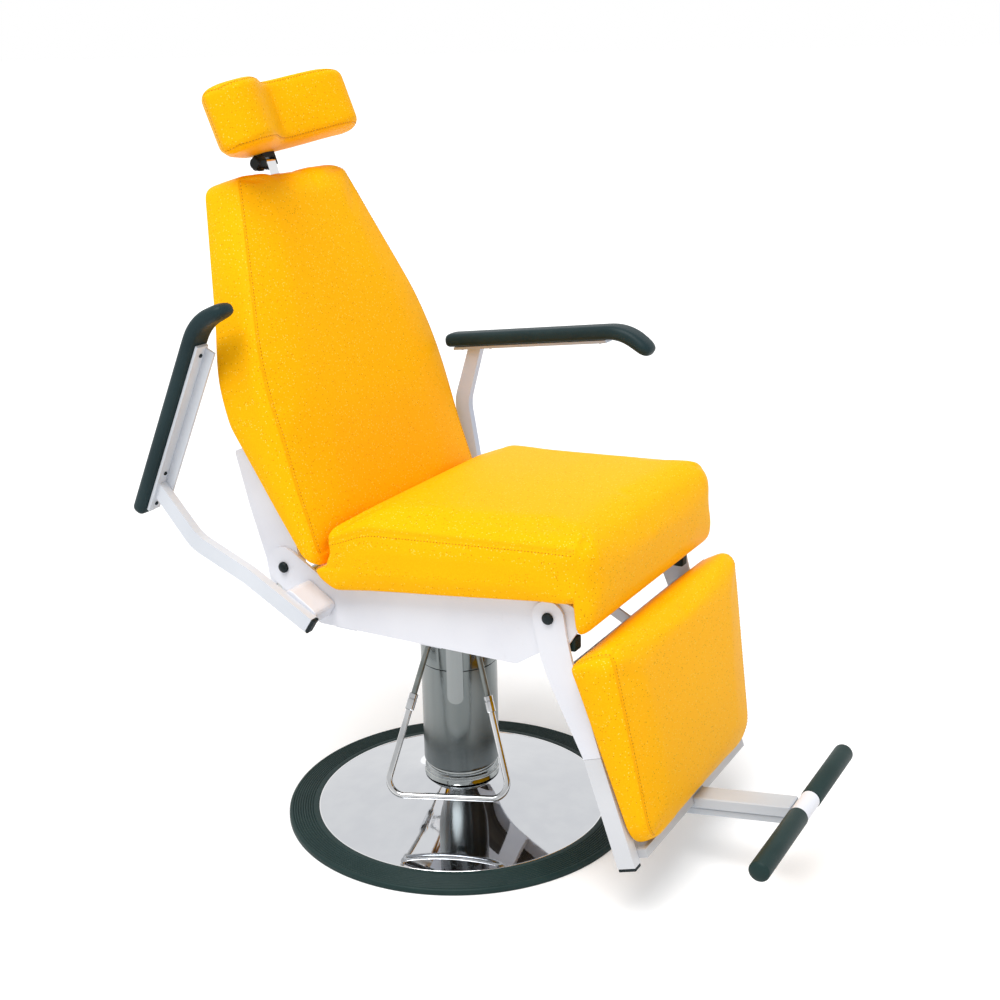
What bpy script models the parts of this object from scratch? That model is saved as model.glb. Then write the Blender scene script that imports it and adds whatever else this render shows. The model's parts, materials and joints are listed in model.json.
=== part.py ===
"""Ear, nose and throat examination chair: pump base, swivelling seat, linked back and leg rest."""

import math

import bmesh
import bpy
from mathutils import Matrix, Vector

# Clearances
GAP = 0.0005
PLAY = 0.0010
PIN_CLEARANCE = 0.0005

# Base and column
RING_RADIUS = 0.310
RING_WIDTH = 0.048
RING_EDGE = 0.008
RING_HEIGHT = 0.0115
RING_LIP = 0.005
BASE_STEPS = 48
FLOOR_PLATE = 0.006
DOME_RISE = 0.056
DOME_WALL = 0.003
DOME_FLARE = 0.010
COLLAR_HEIGHT = 0.026
COLLAR_STEP = 0.004
COLUMN_RADIUS = 0.0664
COLUMN_WALL = 0.0025
COLUMN_EDGE = 0.006
SHROUD_HEIGHT = 0.192
SLEEVE_HEIGHT = 0.104
TONGUE_WIDTH = 0.028
TONGUE_DROP = 0.058
TONGUE_RISE = 0.048
TONGUE_DEPTH = 0.006
TONGUE_AZIMUTH = math.radians(205)

# Hydraulic lift and its foot bail
RAM_RADIUS = 0.022
RAM_REACH = 0.060
CYLINDER_WALL = 0.0095
LIFT_TRAVEL = 0.20
FLANGE_RADIUS = 0.050
FLANGE_THICKNESS = 0.006
BAIL_AZIMUTH = math.radians(202.5)
BAIL_TUBE = 0.0055
BAIL_ROD = 0.0050
BAIL_SLEEVE_WALL = 0.0022
BAIL_SLEEVE_LENGTH = 0.030
BAIL_SHAFT_OUT = 0.044
BAIL_SHAFT_DROP = 0.029
BAIL_SHAFT_HALF = 0.028
BAIL_ENTRY_OUT = 0.064
BAIL_ENTRY_HALF = 0.039
BAIL_ENTRY_FALL = 0.019
BAIL_FOOT_OUT = 0.168
BAIL_FOOT_HALF = 0.1075
BAIL_FOOT_FALL = 0.258
BAIL_BEND = 0.026
BAIL_SPLIT = 0.40
BAIL_LUG = 0.012
SLOT_WIDTH = 0.022
SLOT_HEIGHT = 0.058

# Seat frame
HALF_WIDTH = 0.2225
PLATE = 0.005
DECK_PLATE = 0.008
DECK_SIDE = 0.180
BEAM_HEIGHT = 0.016
BEAM_DEPTH = 0.040
BEAM_OFFSET = 0.080
PIVOT_RISE = 0.0945
BACK_PIVOT_Y = 0.1944
LEG_PIVOT_Y = -0.2958
NOSE_RADIUS = 0.034
PLATE_FRONT = 0.0475
PLATE_TOE = 0.058
BOLT_RADIUS = 0.006
BOLT_CAP = 0.0092
BOLT_CAP_HEIGHT = 0.007
SEAT_DROP = 0.0220
BOARD_THICKNESS = 0.007
BOARD_REAR = 0.080
BOARD_FRONT = -0.318

# Seat cushion
SEAT_HALF = 0.252
SEAT_FRONT = -0.3700
SEAT_REAR_RISE = 0.045
SEAT_TOP = 0.138
SEAT_FALL = 0.022
SEAT_CROWN = 0.006
SEAT_DIP = 0.030
SEAT_SIDE_END = 0.088
SEAT_SIDE_REAR = -0.014
SEAT_SIDE_FRONT = 0.0315
SEAT_EDGE = 0.034
SWING_RELIEF = 0.066

# Back rest, leaning at rest, with its pivot as origin
LEAN = math.radians(18.65)
BACK_TRAVEL = math.radians(50)
BACK_TOP = 0.623
BACK_BOTTOM = 0.002
BACK_FRONT = 0.108
BACK_CROWN = 0.006
BACK_ROLL = 0.010
BACK_REAR_LOW = 0.0160
BACK_REAR_HIGH = 0.0255
BACK_STEP_LOW = 0.300
BACK_STEP_HIGH = 0.410
BACK_UNDERCUT = 0.25
BACK_UNDERCUT_TOP = 0.245
BACK_HEEL = 0.012
BACK_SLANT = 0.0365
BACK_TOE = 0.035
BACK_FADE = 0.10
BACK_HALF_BOTTOM = 0.261
BACK_HALF_SHOULDER = 0.230
BACK_HALF_TOP = 0.146
BACK_WAIST = 0.24
BACK_SHOULDER = 0.40
BACK_CORNER = 0.020
BACK_EDGE = 0.014
ARM_PLATE = 0.016
ARM_PLATE_TOP = 0.205
ARM_PLATE_NARROW = 0.053
ARM_PLATE_WIDE = 0.044
LEVER = 0.045
LEVER_ANGLE = BACK_TRAVEL / 2
CROSS_TUBE = 0.007
MOUNT_PLATE = 0.004
MOUNT_LOW = 0.165
MOUNT_HIGH = 0.290

# Head rest on its post
POST_WIDTH = 0.024
POST_DEPTH = 0.012
POST_FORWARD = 0.056
POST_INSERT = 0.200
HEAD_HINGE = 0.0215
HEAD_DOWN = 0.005
HEAD_LEAN = math.radians(20)
HEAD_TURN = math.radians(4.4)
HEAD_ROLL = math.radians(-3.3)
HEAD_HALF = 0.190
HEAD_HEIGHT = 0.107
HEAD_LIFT = 0.0175
HEAD_REAR = 0.043
HEAD_VALLEY = 0.052
HEAD_WING = 0.092
HEAD_SWEEP = 0.056
HEAD_WRAP = 0.088
HEAD_CREST = 0.135
HEAD_CUT = 0.033
HEAD_DROOP = 0.006
HEAD_EDGE = 0.018
KNOB_RADIUS = 0.0135
KNOB_LENGTH = 0.022
EAR = 0.004

# Leg rest, with its pivot as origin and leaning like the back
LEG_RATIO = 2 / 3
LEG_LEVER_ANGLE = LEG_RATIO * LEVER_ANGLE
BAR_WIDTH = 0.030
BAR_DEPTH = 0.020
BAR_SEAM = 0.226
BAR_END = 0.406
BAR_LAP = 0.090
BRACKET_TOP = 0.027
BRACKET_HIP = 0.034
PLUG_HEIGHT = 0.005
LEG_TUBE_DOWN = 0.092
LEG_TUBE = 0.010
LEG_TOP = 0.054
LEG_BOTTOM = 0.384
LEG_THICK_TOP = 0.080
LEG_STAND = 0.027
LEG_THICK_BOTTOM = 0.031
LEG_CROWN = 0.005
LEG_HALF_TOP = 0.261
LEG_HALF_BOTTOM = 0.221
LEG_CORNER = 0.045
LEG_EDGE = 0.018
RAIL_HEIGHT = 0.014
RAIL_FRONT = 0.030
STOP_SIDE = 0.022

# Foot rest, sliding out from under the leg rest
FOOT_TILT = math.radians(10.45)
FOOT_FORWARD = 0.031
FOOT_DOWN = 0.389
FOOT_BAR_WIDTH = 0.043
FOOT_BAR_HEIGHT = 0.019
FOOT_REACH = 0.178
FOOT_TAIL = 0.030
GUIDE_WIDTH = 0.034
GUIDE_HEIGHT = 0.013
GUIDE_REACH = 0.150
GRIP_RADIUS = 0.0165
GRIP_HALF = 0.2145
SLEEVE_RADIUS = 0.0155
SLEEVE_HALF = 0.030
GRIP_CORE = 0.010

# Arm rests
ARM_PIVOT_Y = 0.1175
ARM_PIVOT_DROP = 0.0446
ARM_SWING = math.radians(57)
ARM_LEVEL = math.radians(-1.0)
ARM_BEND = 0.07
ARM_CENTRE = 0.285
ARM_TUBE_WIDTH = 0.028
ARM_TUBE_DEPTH = 0.015
ARM_FOOT = 0.024
ARM_ELBOW_OUT = 0.0345
ARM_ELBOW_UP = 0.219
ARM_HEAD_OUT = 0.0050
ARM_HEAD_UP = 0.322
ARM_PIN = 0.008
HUB_FRONT = 0.013
HUB_REAR = 0.020
HUB_LOW = 0.022
HUB_HIGH = 0.044
PAD_REAR = 0.0625
PAD_REAR_UP = 0.331
PAD_BEND = -0.295
PAD_BEND_UP = 0.381
PAD_TIP = -0.347
PAD_TIP_UP = 0.347
PAD_THICKNESS = 0.024
PAD_BEND_RADIUS = 0.080
PAD_WIDTH = 0.046
RAIL_PLATE = 0.005
RAIL_PLATE_WIDTH = 0.026

# Gas spring between the seat and the back
GAS_RADIUS = 0.0095
GAS_ROD = 0.0045
GAS_FRONT = -0.140
GAS_REAR = 0.085
EYE_WALL = 0.006
EYE_SLACK = 0.0012
LINK_SLACK = 0.0030
LINK_THICKNESS = 0.005
LEVER_PIN = 0.005
GAS_SIDE = 0.070

# Heights and layers that follow from the sizes above
dome_top = FLOOR_PLATE + DOME_RISE
collar_top = dome_top + GAP + COLLAR_HEIGHT
shroud_bottom = collar_top + GAP
seam = shroud_bottom + SHROUD_HEIGHT
sleeve_bottom = seam + GAP
sleeve_top = sleeve_bottom + SLEEVE_HEIGHT
deck = sleeve_top + FLANGE_THICKNESS + 2 * PLAY
beam_bottom = deck + DECK_PLATE
beam_top = beam_bottom + BEAM_HEIGHT
pivot_z = deck + PIVOT_RISE
seat_bottom = pivot_z - SEAT_DROP
board_top = seat_bottom - GAP
plate_inner = HALF_WIDTH - PLATE
leg_inner = HALF_WIDTH + PLAY
leg_outer = leg_inner + PLATE
back_outer = plate_inner - PLAY
back_inner = back_outer - ARM_PLATE
lever_low = LINK_THICKNESS / 2 + PLAY
cylinder_radius = RAM_RADIUS + PIN_CLEARANCE + CYLINDER_WALL
leg_lever = LEVER / LEG_RATIO
hinge_up = BACK_TOP + HEAD_HINGE
shaft_z = sleeve_top - BAIL_SHAFT_DROP
back_plane = BACK_PIVOT_Y - (BACK_FRONT + BACK_CROWN) / math.cos(LEAN)
seat_rear = back_plane + SEAT_REAR_RISE * math.tan(LEAN) - 2 * PLAY
pad_rise = math.atan2(PAD_BEND_UP - PAD_REAR_UP, PAD_REAR - PAD_BEND)
pad_fall = math.atan2(PAD_TIP_UP - PAD_BEND_UP, PAD_BEND - PAD_TIP)
pad_reach = PAD_BEND_RADIUS * math.tan((pad_rise - pad_fall) / 2)


def clear_scene():
    for obj in list(bpy.data.objects):
        bpy.data.objects.remove(obj, do_unlink=True)
    for collection in list(bpy.data.collections):
        bpy.data.collections.remove(collection)


clear_scene()
chair = bpy.data.collections.new("examination_chair")
cutters = bpy.data.collections.new("cutters")
for group in (chair, cutters):
    bpy.context.scene.collection.children.link(group)
cutters.hide_render = True


def material(name, colour, roughness, metallic=0.0):
    made = bpy.data.materials.new(name)
    made.use_nodes = True
    shader = made.node_tree.nodes["Principled BSDF"]
    shader.inputs["Base Color"].default_value = (*colour, 1.0)
    shader.inputs["Roughness"].default_value = roughness
    shader.inputs["Metallic"].default_value = metallic
    return made


CHROME = material("chrome", (0.74, 0.75, 0.76), 0.10, 1.0)
WHITE_PAINT = material("white_paint", (0.82, 0.83, 0.85), 0.35)
LEATHERETTE = material("yellow_leatherette", (0.98, 0.50, 0.01), 0.42)
BLACK_RUBBER = material("black_rubber", (0.020, 0.028, 0.028), 0.70)
BLACK_PLASTIC = material("black_plastic", (0.018, 0.022, 0.024), 0.40)
STEEL = material("steel", (0.45, 0.46, 0.48), 0.35, 1.0)
PLYWOOD = material("plywood", (0.48, 0.33, 0.18), 0.70)


def pivot(name, location, rotation=(0, 0, 0), parent=None):
    empty = bpy.data.objects.new(name, None)
    chair.objects.link(empty)
    empty.parent = parent
    empty.location = location
    empty.rotation_euler = rotation
    return empty


def add(name, mesh, finish, parent=None, location=(0, 0, 0), rotation=(0, 0, 0), group=None):
    obj = bpy.data.objects.new(name, mesh)
    (group or chair).objects.link(obj)
    obj.parent = parent
    obj.location = location
    obj.rotation_euler = rotation
    if finish:
        mesh.materials.append(finish)
    else:
        obj.hide_render = True
        obj.display_type = "WIRE"
    return obj


def cutter(name, mesh, parent=None, location=(0, 0, 0), rotation=(0, 0, 0)):
    return add(name, mesh, None, parent, location, rotation, cutters)


def boolean(obj, other, operation="DIFFERENCE"):
    step = obj.modifiers.new(other.name, "BOOLEAN")
    step.operation = operation
    step.object = other
    step.solver = "EXACT"
    return obj


def round_edges(obj, width, segments=2, angle=math.radians(40)):
    bevel = obj.modifiers.new("edges", "BEVEL")
    bevel.width = width
    bevel.segments = segments
    bevel.limit_method = "ANGLE"
    bevel.angle_limit = angle
    return obj


def box_mesh(name, low, high):
    bm = bmesh.new()
    bmesh.ops.create_cube(bm, size=1.0)
    low, high = Vector(low), Vector(high)
    bmesh.ops.scale(bm, vec=high - low, verts=bm.verts)
    bmesh.ops.translate(bm, vec=(low + high) / 2, verts=bm.verts)
    mesh = bpy.data.meshes.new(name)
    bm.to_mesh(mesh)
    bm.free()
    return mesh


def rod_mesh(name, radius, start, end, segments=20):
    start, end = Vector(start), Vector(end)
    bm = bmesh.new()
    bmesh.ops.create_cone(
        bm, cap_ends=True, segments=segments, radius1=radius, radius2=radius, depth=(end - start).length
    )
    turn = Vector((0, 0, 1)).rotation_difference(end - start).to_matrix().to_4x4()
    bmesh.ops.transform(bm, matrix=Matrix.Translation((start + end) / 2) @ turn, verts=bm.verts)
    mesh = bpy.data.meshes.new(name)
    bm.to_mesh(mesh)
    bm.free()
    mesh.shade_smooth()
    mesh.set_sharp_from_angle(angle=math.radians(40))
    return mesh


def turned(name, profile, finish, closed, steps=32, parent=None, location=(0, 0, 0), rotation=(0, 0, 0)):
    """A profile of (radius, height), run down its outer side, turned about Z."""
    mesh = bpy.data.meshes.new(name)
    edges = [(i, i + 1) for i in range(len(profile) - 1)]
    if closed:
        edges.append((len(profile) - 1, 0))
    mesh.from_pydata([(r, 0, z) for r, z in profile], edges, [])
    obj = add(name, mesh, finish, parent, location, rotation)
    screw = obj.modifiers.new("turn", "SCREW")
    screw.steps = screw.render_steps = steps
    screw.use_merge_vertices = True
    screw.merge_threshold = 0.00005
    screw.use_smooth_shade = True
    return obj


def rounded(corners, steps=3):
    """A closed outline whose corners (a, b, radius) are arcs."""
    points = []
    count = len(corners)
    for i, (a, b, radius) in enumerate(corners):
        here = Vector((a, b))
        back = Vector(corners[i - 1][:2]) - here
        ahead = Vector(corners[(i + 1) % count][:2]) - here
        half = back.angle(ahead) / 2
        room = 0.49 * min(back.length, ahead.length)
        reach = min(radius / math.tan(half), room)
        if reach < 1e-6:
            points.append(here)
            continue
        radius = reach * math.tan(half)
        back.normalize()
        ahead.normalize()
        centre = here + (back + ahead).normalized() * radius / math.sin(half)
        first = here + back * reach - centre
        sweep = first.angle_signed(here + ahead * reach - centre)
        for k in range(steps + 1):
            points.append(centre + Matrix.Rotation(-sweep * k / steps, 2) @ first)
    return points


def circle(a, b, radius, count=16):
    turns = [2 * math.pi * k / count for k in range(count)]
    return [Vector((a + radius * math.cos(t), b + radius * math.sin(t))) for t in turns]


def offset_path(path, half, bend=0.02, steps=5):
    """The outline of a flat bar of half width along a path in the plane."""
    sides = []
    for sign in (1, -1):
        side = []
        for i, point in enumerate(path):
            here = Vector(point)
            before = (here - Vector(path[i - 1])).normalized() if i else None
            after = (Vector(path[i + 1]) - here).normalized() if i < len(path) - 1 else None
            one = before or after
            two = after or before
            normal = (Vector((-one.y, one.x)) + Vector((-two.y, two.x))).normalized()
            stretch = half / normal.dot(Vector((-one.y, one.x)))
            radius = 0 if before is None or after is None else bend
            side.append((*(here + sign * normal * stretch), radius))
        sides.append(side)
    return sides[0] + sides[1][::-1]


def plate_mesh(name, outlines, low, high):
    """Flat outlines in Y and Z, the later ones holes, from low to high along X."""
    curve = bpy.data.curves.new(name, "CURVE")
    curve.dimensions = "2D"
    curve.fill_mode = "BOTH"
    curve.extrude = (high - low) / 2
    for outline in outlines:
        spline = curve.splines.new("POLY")
        spline.points.add(len(outline) - 1)
        for point, at in zip(spline.points, outline):
            point.co = (at[0], at[1], 0, 1)
        spline.use_cyclic_u = True
    source = bpy.data.objects.new(name, curve)
    cutters.objects.link(source)
    bpy.context.view_layer.update()
    shape = source.evaluated_get(bpy.context.evaluated_depsgraph_get())
    mesh = bpy.data.meshes.new_from_object(shape)
    bpy.data.objects.remove(source)
    bm = bmesh.new()
    bm.from_mesh(mesh)
    bmesh.ops.remove_doubles(bm, verts=bm.verts, dist=0.00001)
    to_yz = Matrix(((0, 0, 1, 0), (1, 0, 0, 0), (0, 1, 0, 0), (0, 0, 0, 1)))
    bmesh.ops.transform(bm, matrix=Matrix.Translation(((low + high) / 2, 0, 0)) @ to_yz, verts=bm.verts)
    bmesh.ops.recalc_face_normals(bm, faces=bm.faces)
    bm.to_mesh(mesh)
    bm.free()
    mesh.name = name
    return mesh


def bent_rod(name, points, radius, finish, parent, bend=0.0, steps=5, sides=2):
    """A round rod along points, with its inner corners bent to a radius."""
    path = []
    for i, point in enumerate(points):
        here = Vector(point)
        if i in (0, len(points) - 1) or not bend:
            path.append(here)
            continue
        back = Vector(points[i - 1]) - here
        ahead = Vector(points[i + 1]) - here
        half = back.angle(ahead) / 2
        reach = min(bend / math.tan(half), 0.49 * back.length, 0.49 * ahead.length)
        start = here + back.normalized() * reach
        end = here + ahead.normalized() * reach
        for k in range(steps + 1):
            t = k / steps
            path.append(start * (1 - t) ** 2 + here * 2 * t * (1 - t) + end * t ** 2)
    curve = bpy.data.curves.new(name, "CURVE")
    curve.dimensions = "3D"
    curve.bevel_depth = radius
    curve.bevel_resolution = sides
    curve.use_fill_caps = True
    spline = curve.splines.new("POLY")
    spline.points.add(len(path) - 1)
    for at, co in zip(spline.points, path):
        at.co = (*co, 1)
    return add(name, curve, finish, parent)


def cushion(name, half, edge, lines, shape, finish, parent=None, rotation=(0, 0, 0)):
    """A rounded box, cut along each axis at the given shares, and moved point by point by shape."""
    half = Vector(half)
    bm = bmesh.new()
    bmesh.ops.create_cube(bm, size=2.0)
    for axis in range(3):
        normal = Vector([float(i == axis) for i in range(3)])
        rim = 1 - edge / half[axis]
        inner = [share * rim for share in lines[axis]]
        for at in (-rim, *inner, rim):
            faces = bm.verts[:] + bm.edges[:] + bm.faces[:]
            bmesh.ops.bisect_plane(bm, geom=faces, plane_co=normal * at, plane_no=normal)
    for vert in bm.verts:
        at = Vector([c * h for c, h in zip(vert.co, half)])
        core = Vector([max(edge - h, min(h - edge, c)) for c, h in zip(at, half)])
        out = at - core
        if out.length > 1e-9:
            at = core + out.normalized() * edge
        vert.co = shape(at)
    mesh = bpy.data.meshes.new(name)
    bm.to_mesh(mesh)
    bm.free()
    mesh.shade_smooth()
    obj = add(name, mesh, finish, parent, (0, 0, 0), rotation)
    soft = obj.modifiers.new("soft", "SUBSURF")
    soft.levels = soft.render_levels = 1
    return obj


def ease(value, low, high):
    """0 below low, 1 above high, smooth between."""
    t = max(0.0, min(1.0, (value - low) / (high - low)))
    return t * t * (3 - 2 * t)


def blend(low, high, share):
    return low + (high - low) * share


def bolt(name, x_head, x_end, y, z, parent=None):
    """A pivot bolt with a domed cap, its head outwards."""
    side = 1 if x_head > 0 else -1
    length = abs(x_head - x_end)
    dome = [
        (BOLT_CAP * math.cos(t), BOLT_CAP_HEIGHT * (0.35 + 0.65 * math.sin(t)))
        for t in (math.radians(a) for a in (60, 30, 0))
    ]
    shank = [(BOLT_RADIUS, 0), (BOLT_RADIUS, -length), (0, -length)]
    profile = [(0, BOLT_CAP_HEIGHT), *dome, (BOLT_CAP, 0), *shank]
    turn = (0, side * math.pi / 2, 0)
    return turned(name, profile, BLACK_PLASTIC, False, 16, parent, (x_head, y, z), turn)


def make_base():
    plate_radius = RING_RADIUS - RING_WIDTH
    profile = [(0, FLOOR_PLATE), (plate_radius, FLOOR_PLATE), (plate_radius, 0), (0, 0)]
    turned("base_plate", profile, STEEL, False, BASE_STEPS)

    def dome_height(radius):
        share = (plate_radius - radius) / (plate_radius - COLUMN_RADIUS)
        slope = (DOME_RISE - DOME_WALL - DOME_FLARE) * share
        return FLOOR_PLATE + GAP + DOME_WALL + slope + DOME_FLARE * share ** 6

    stations = [COLUMN_RADIUS + (plate_radius - COLUMN_RADIUS) * k / 4 for k in range(5)]
    hole = cylinder_radius + PLAY
    outer = [(r, dome_height(r)) for r in stations]
    inner = [(r, h - DOME_WALL) for r, h in outer]
    profile = [(hole, outer[0][1]), *outer, *inner[::-1], (hole, inner[0][1])]
    turned("base_dome", profile, CHROME, True, BASE_STEPS)
    inside = plate_radius + GAP
    lip = inside - RING_LIP
    lip_low = dome_height(lip) + GAP
    profile = [
        (lip, RING_HEIGHT + GAP), (inside + 0.25 * RING_WIDTH, RING_HEIGHT),
        (RING_RADIUS - 0.003, RING_EDGE + 0.002), (RING_RADIUS, RING_EDGE - 0.002), (RING_RADIUS, 0),
        (inside, 0), (inside, lip_low), (lip, lip_low),
    ]
    turned("base_ring", profile, BLACK_RUBBER, True, BASE_STEPS)


def make_column():
    top = dome_top + GAP + 2 * PLAY
    foot = COLUMN_RADIUS - COLLAR_STEP
    bore = cylinder_radius + PLAY
    middle = (top + collar_top) / 2
    profile = [
        (bore, collar_top), (foot - 0.002, collar_top), (foot, collar_top - 0.002), (foot, middle + 0.003),
        (foot + 0.003, middle), (foot, middle - 0.003), (foot, top + 0.006), (foot + 0.004, top), (bore, top),
    ]
    turned("column_collar", profile, CHROME, True)
    inside = COLUMN_RADIUS - COLUMN_WALL
    curve = [
        (COLUMN_RADIUS - COLUMN_EDGE * (1 - math.cos(t)), shroud_bottom + COLUMN_EDGE * (1 - math.sin(t)))
        for t in (math.radians(a) for a in (0, 30, 60, 90))
    ]
    profile = [
        (inside, seam), (COLUMN_RADIUS, seam), *curve, (bore, shroud_bottom),
        (bore, shroud_bottom + COLUMN_WALL), (inside - COLUMN_EDGE, shroud_bottom + COLUMN_WALL),
        (inside, shroud_bottom + COLUMN_EDGE),
    ]
    turned("column_shroud", profile, CHROME, True)
    ram_hole = RAM_RADIUS + PIN_CLEARANCE + GAP
    profile = [
        (ram_hole, sleeve_top), (COLUMN_RADIUS - 0.003, sleeve_top), (COLUMN_RADIUS, sleeve_top - 0.003),
        (COLUMN_RADIUS, sleeve_bottom), (inside, sleeve_bottom), (inside, sleeve_top - COLUMN_WALL),
        (ram_hole, sleeve_top - COLUMN_WALL),
    ]
    sleeve = turned("column_sleeve", profile, CHROME, True)
    facing = pivot("bail_side", (0, 0, 0), (0, 0, BAIL_AZIMUTH))
    for side, sign in (("left", 1), ("right", -1)):
        low = (0, sign * BAIL_ENTRY_HALF - SLOT_WIDTH / 2, shaft_z - SLOT_HEIGHT * 0.62)
        high = (COLUMN_RADIUS + 0.02, sign * BAIL_ENTRY_HALF + SLOT_WIDTH / 2, shaft_z + SLOT_HEIGHT * 0.38)
        boolean(sleeve, cutter("slot_" + side, box_mesh("slot", low, high), facing))
    half = TONGUE_WIDTH / 2
    tip = TONGUE_WIDTH * 0.49
    corners = [
        (-half, TONGUE_RISE, 0.002), (half, TONGUE_RISE, 0.002),
        (half, -TONGUE_DROP, tip), (-half, -TONGUE_DROP, tip),
    ]
    outline = rounded(corners, 6)
    low = math.sqrt(COLUMN_RADIUS ** 2 - (TONGUE_WIDTH / 2) ** 2) - TONGUE_DEPTH / 2
    mesh = plate_mesh("sleeve_tongue", [outline], low, COLUMN_RADIUS + TONGUE_DEPTH)
    front = pivot("tongue_side", (0, 0, 0), (0, 0, TONGUE_AZIMUTH))
    tongue = add("sleeve_tongue", mesh, CHROME, front, (0, 0, seam))
    round_edges(tongue, TONGUE_DEPTH * 0.5)
    core = rod_mesh("tongue_back", COLUMN_RADIUS + GAP, (0, 0, seam - 0.1), (0, 0, seam + 0.1), 64)
    boolean(tongue, cutter("tongue_back", core))


def make_pump():
    bottom = FLOOR_PLATE + GAP
    top = sleeve_top - COLUMN_WALL - PLAY
    bore = RAM_RADIUS + PIN_CLEARANCE
    floor = max(bottom + CYLINDER_WALL, sleeve_top - LIFT_TRAVEL - RAM_REACH - 2 * CYLINDER_WALL)
    profile = [
        (0, floor), (bore, floor), (bore, top),
        (cylinder_radius, top), (cylinder_radius, bottom), (0, bottom),
    ]
    cylinder = turned("pump_cylinder", profile, STEEL, False, 24)
    facing = pivot("pump_side", (0, 0, 0), (0, 0, BAIL_AZIMUTH))
    low = (cylinder_radius - 0.006, -BAIL_LUG, shaft_z - BAIL_ROD - 0.004)
    high = (BAIL_SHAFT_OUT + BAIL_ROD + 0.003, BAIL_LUG, shaft_z + BAIL_ROD + 0.004)
    boolean(cylinder, cutter("pump_lug", box_mesh("pump_lug", low, high), facing), "UNION")
    start = (BAIL_SHAFT_OUT, -2 * BAIL_LUG, shaft_z)
    end = (BAIL_SHAFT_OUT, 2 * BAIL_LUG, shaft_z)
    boolean(cylinder, cutter("lug_bore", rod_mesh("lug_bore", BAIL_ROD + PIN_CLEARANCE, start, end), facing))
    ram_bottom = floor + 2 * PLAY
    profile = [
        (0, deck - PLAY), (FLANGE_RADIUS - 0.002, deck - PLAY), (FLANGE_RADIUS, deck - PLAY - 0.002),
        (FLANGE_RADIUS, sleeve_top + PLAY), (RAM_RADIUS, sleeve_top + PLAY),
        (RAM_RADIUS, ram_bottom), (0, ram_bottom),
    ]
    turned("lift_ram", profile, STEEL, False, 24)


def make_bail():
    out = BAIL_SHAFT_OUT * Vector((math.cos(BAIL_AZIMUTH), math.sin(BAIL_AZIMUTH)))
    hinge = pivot("bail_hinge", (*out, shaft_z), (0, 0, BAIL_AZIMUTH))
    entry = Vector((BAIL_ENTRY_OUT - BAIL_SHAFT_OUT, BAIL_ENTRY_HALF, -BAIL_ENTRY_FALL))
    foot = Vector((BAIL_FOOT_OUT - BAIL_SHAFT_OUT, BAIL_FOOT_HALF, -BAIL_FOOT_FALL))
    joint = entry.lerp(foot, BAIL_SPLIT)
    along = (foot - entry).normalized()

    def mirrored(point):
        return Vector((point.x, -point.y, point.z))

    shaft = Vector((0, BAIL_SHAFT_HALF, 0))
    upper_end = joint - along * GAP
    points = [upper_end, entry, shaft, mirrored(shaft), mirrored(entry), mirrored(upper_end)]
    bent_rod("bail_yoke", points, BAIL_ROD, STEEL, hinge, 0.010, 3)
    lower_end = joint + along * GAP
    points = [lower_end, foot, mirrored(foot), mirrored(lower_end)]
    bent_rod("bail_stirrup", points, BAIL_TUBE, CHROME, hinge, BAIL_BEND, 6)
    bore = max(BAIL_ROD, BAIL_TUBE) + PIN_CLEARANCE
    outer = bore + BAIL_SLEEVE_WALL
    half = BAIL_SLEEVE_LENGTH / 2
    profile = [(bore, half), (outer, half), (outer, -half), (bore, -half)]
    for side, at, way in (("left", joint, along), ("right", mirrored(joint), mirrored(along))):
        turn = Vector((0, 0, 1)).rotation_difference(way).to_euler()
        turned("bail_joint_" + side, profile, STEEL, True, 16, hinge, at, turn)


def seat_plate_outline():
    """Side plate seen from the side, from its pivots."""
    back = Vector((BACK_PIVOT_Y, pivot_z))
    leg = Vector((LEG_PIVOT_Y, pivot_z))
    side = math.radians(31)
    top = back + NOSE_RADIUS * Vector((-math.sin(side), math.cos(side)))
    notch_z = seat_bottom + 0.001
    notch = top + Vector((-(top.y - notch_z) / math.tan(side), notch_z - top.y))
    rear = [(*(back + NOSE_RADIUS * Vector((math.cos(a), math.sin(a)))), 0) for a in arc(-70, 180 - 59, 9)]
    bottom = beam_bottom
    return rounded(
        [
            *rear,
            (*notch, 0.006),
            (leg.x - 0.010, leg.y + SEAT_SIDE_FRONT - 0.006, 0.015),
            (leg.x - PLATE_FRONT + 0.0035, leg.y + SEAT_SIDE_FRONT - 0.007, 0.016),
            (leg.x - PLATE_FRONT, leg.y - 0.012, 0.015),
            (leg.x - 0.030, leg.y - 0.040, 0.008),
            (leg.x + 0.014, leg.y - 0.058, 0.010),
            (leg.x + PLATE_TOE, bottom, 0.012),
            (ARM_PIVOT_Y + 0.010, bottom, 0.012),
        ]
    )


def arc(start, end, count):
    return [math.radians(blend(start, end, k / (count - 1))) for k in range(count)]


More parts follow.
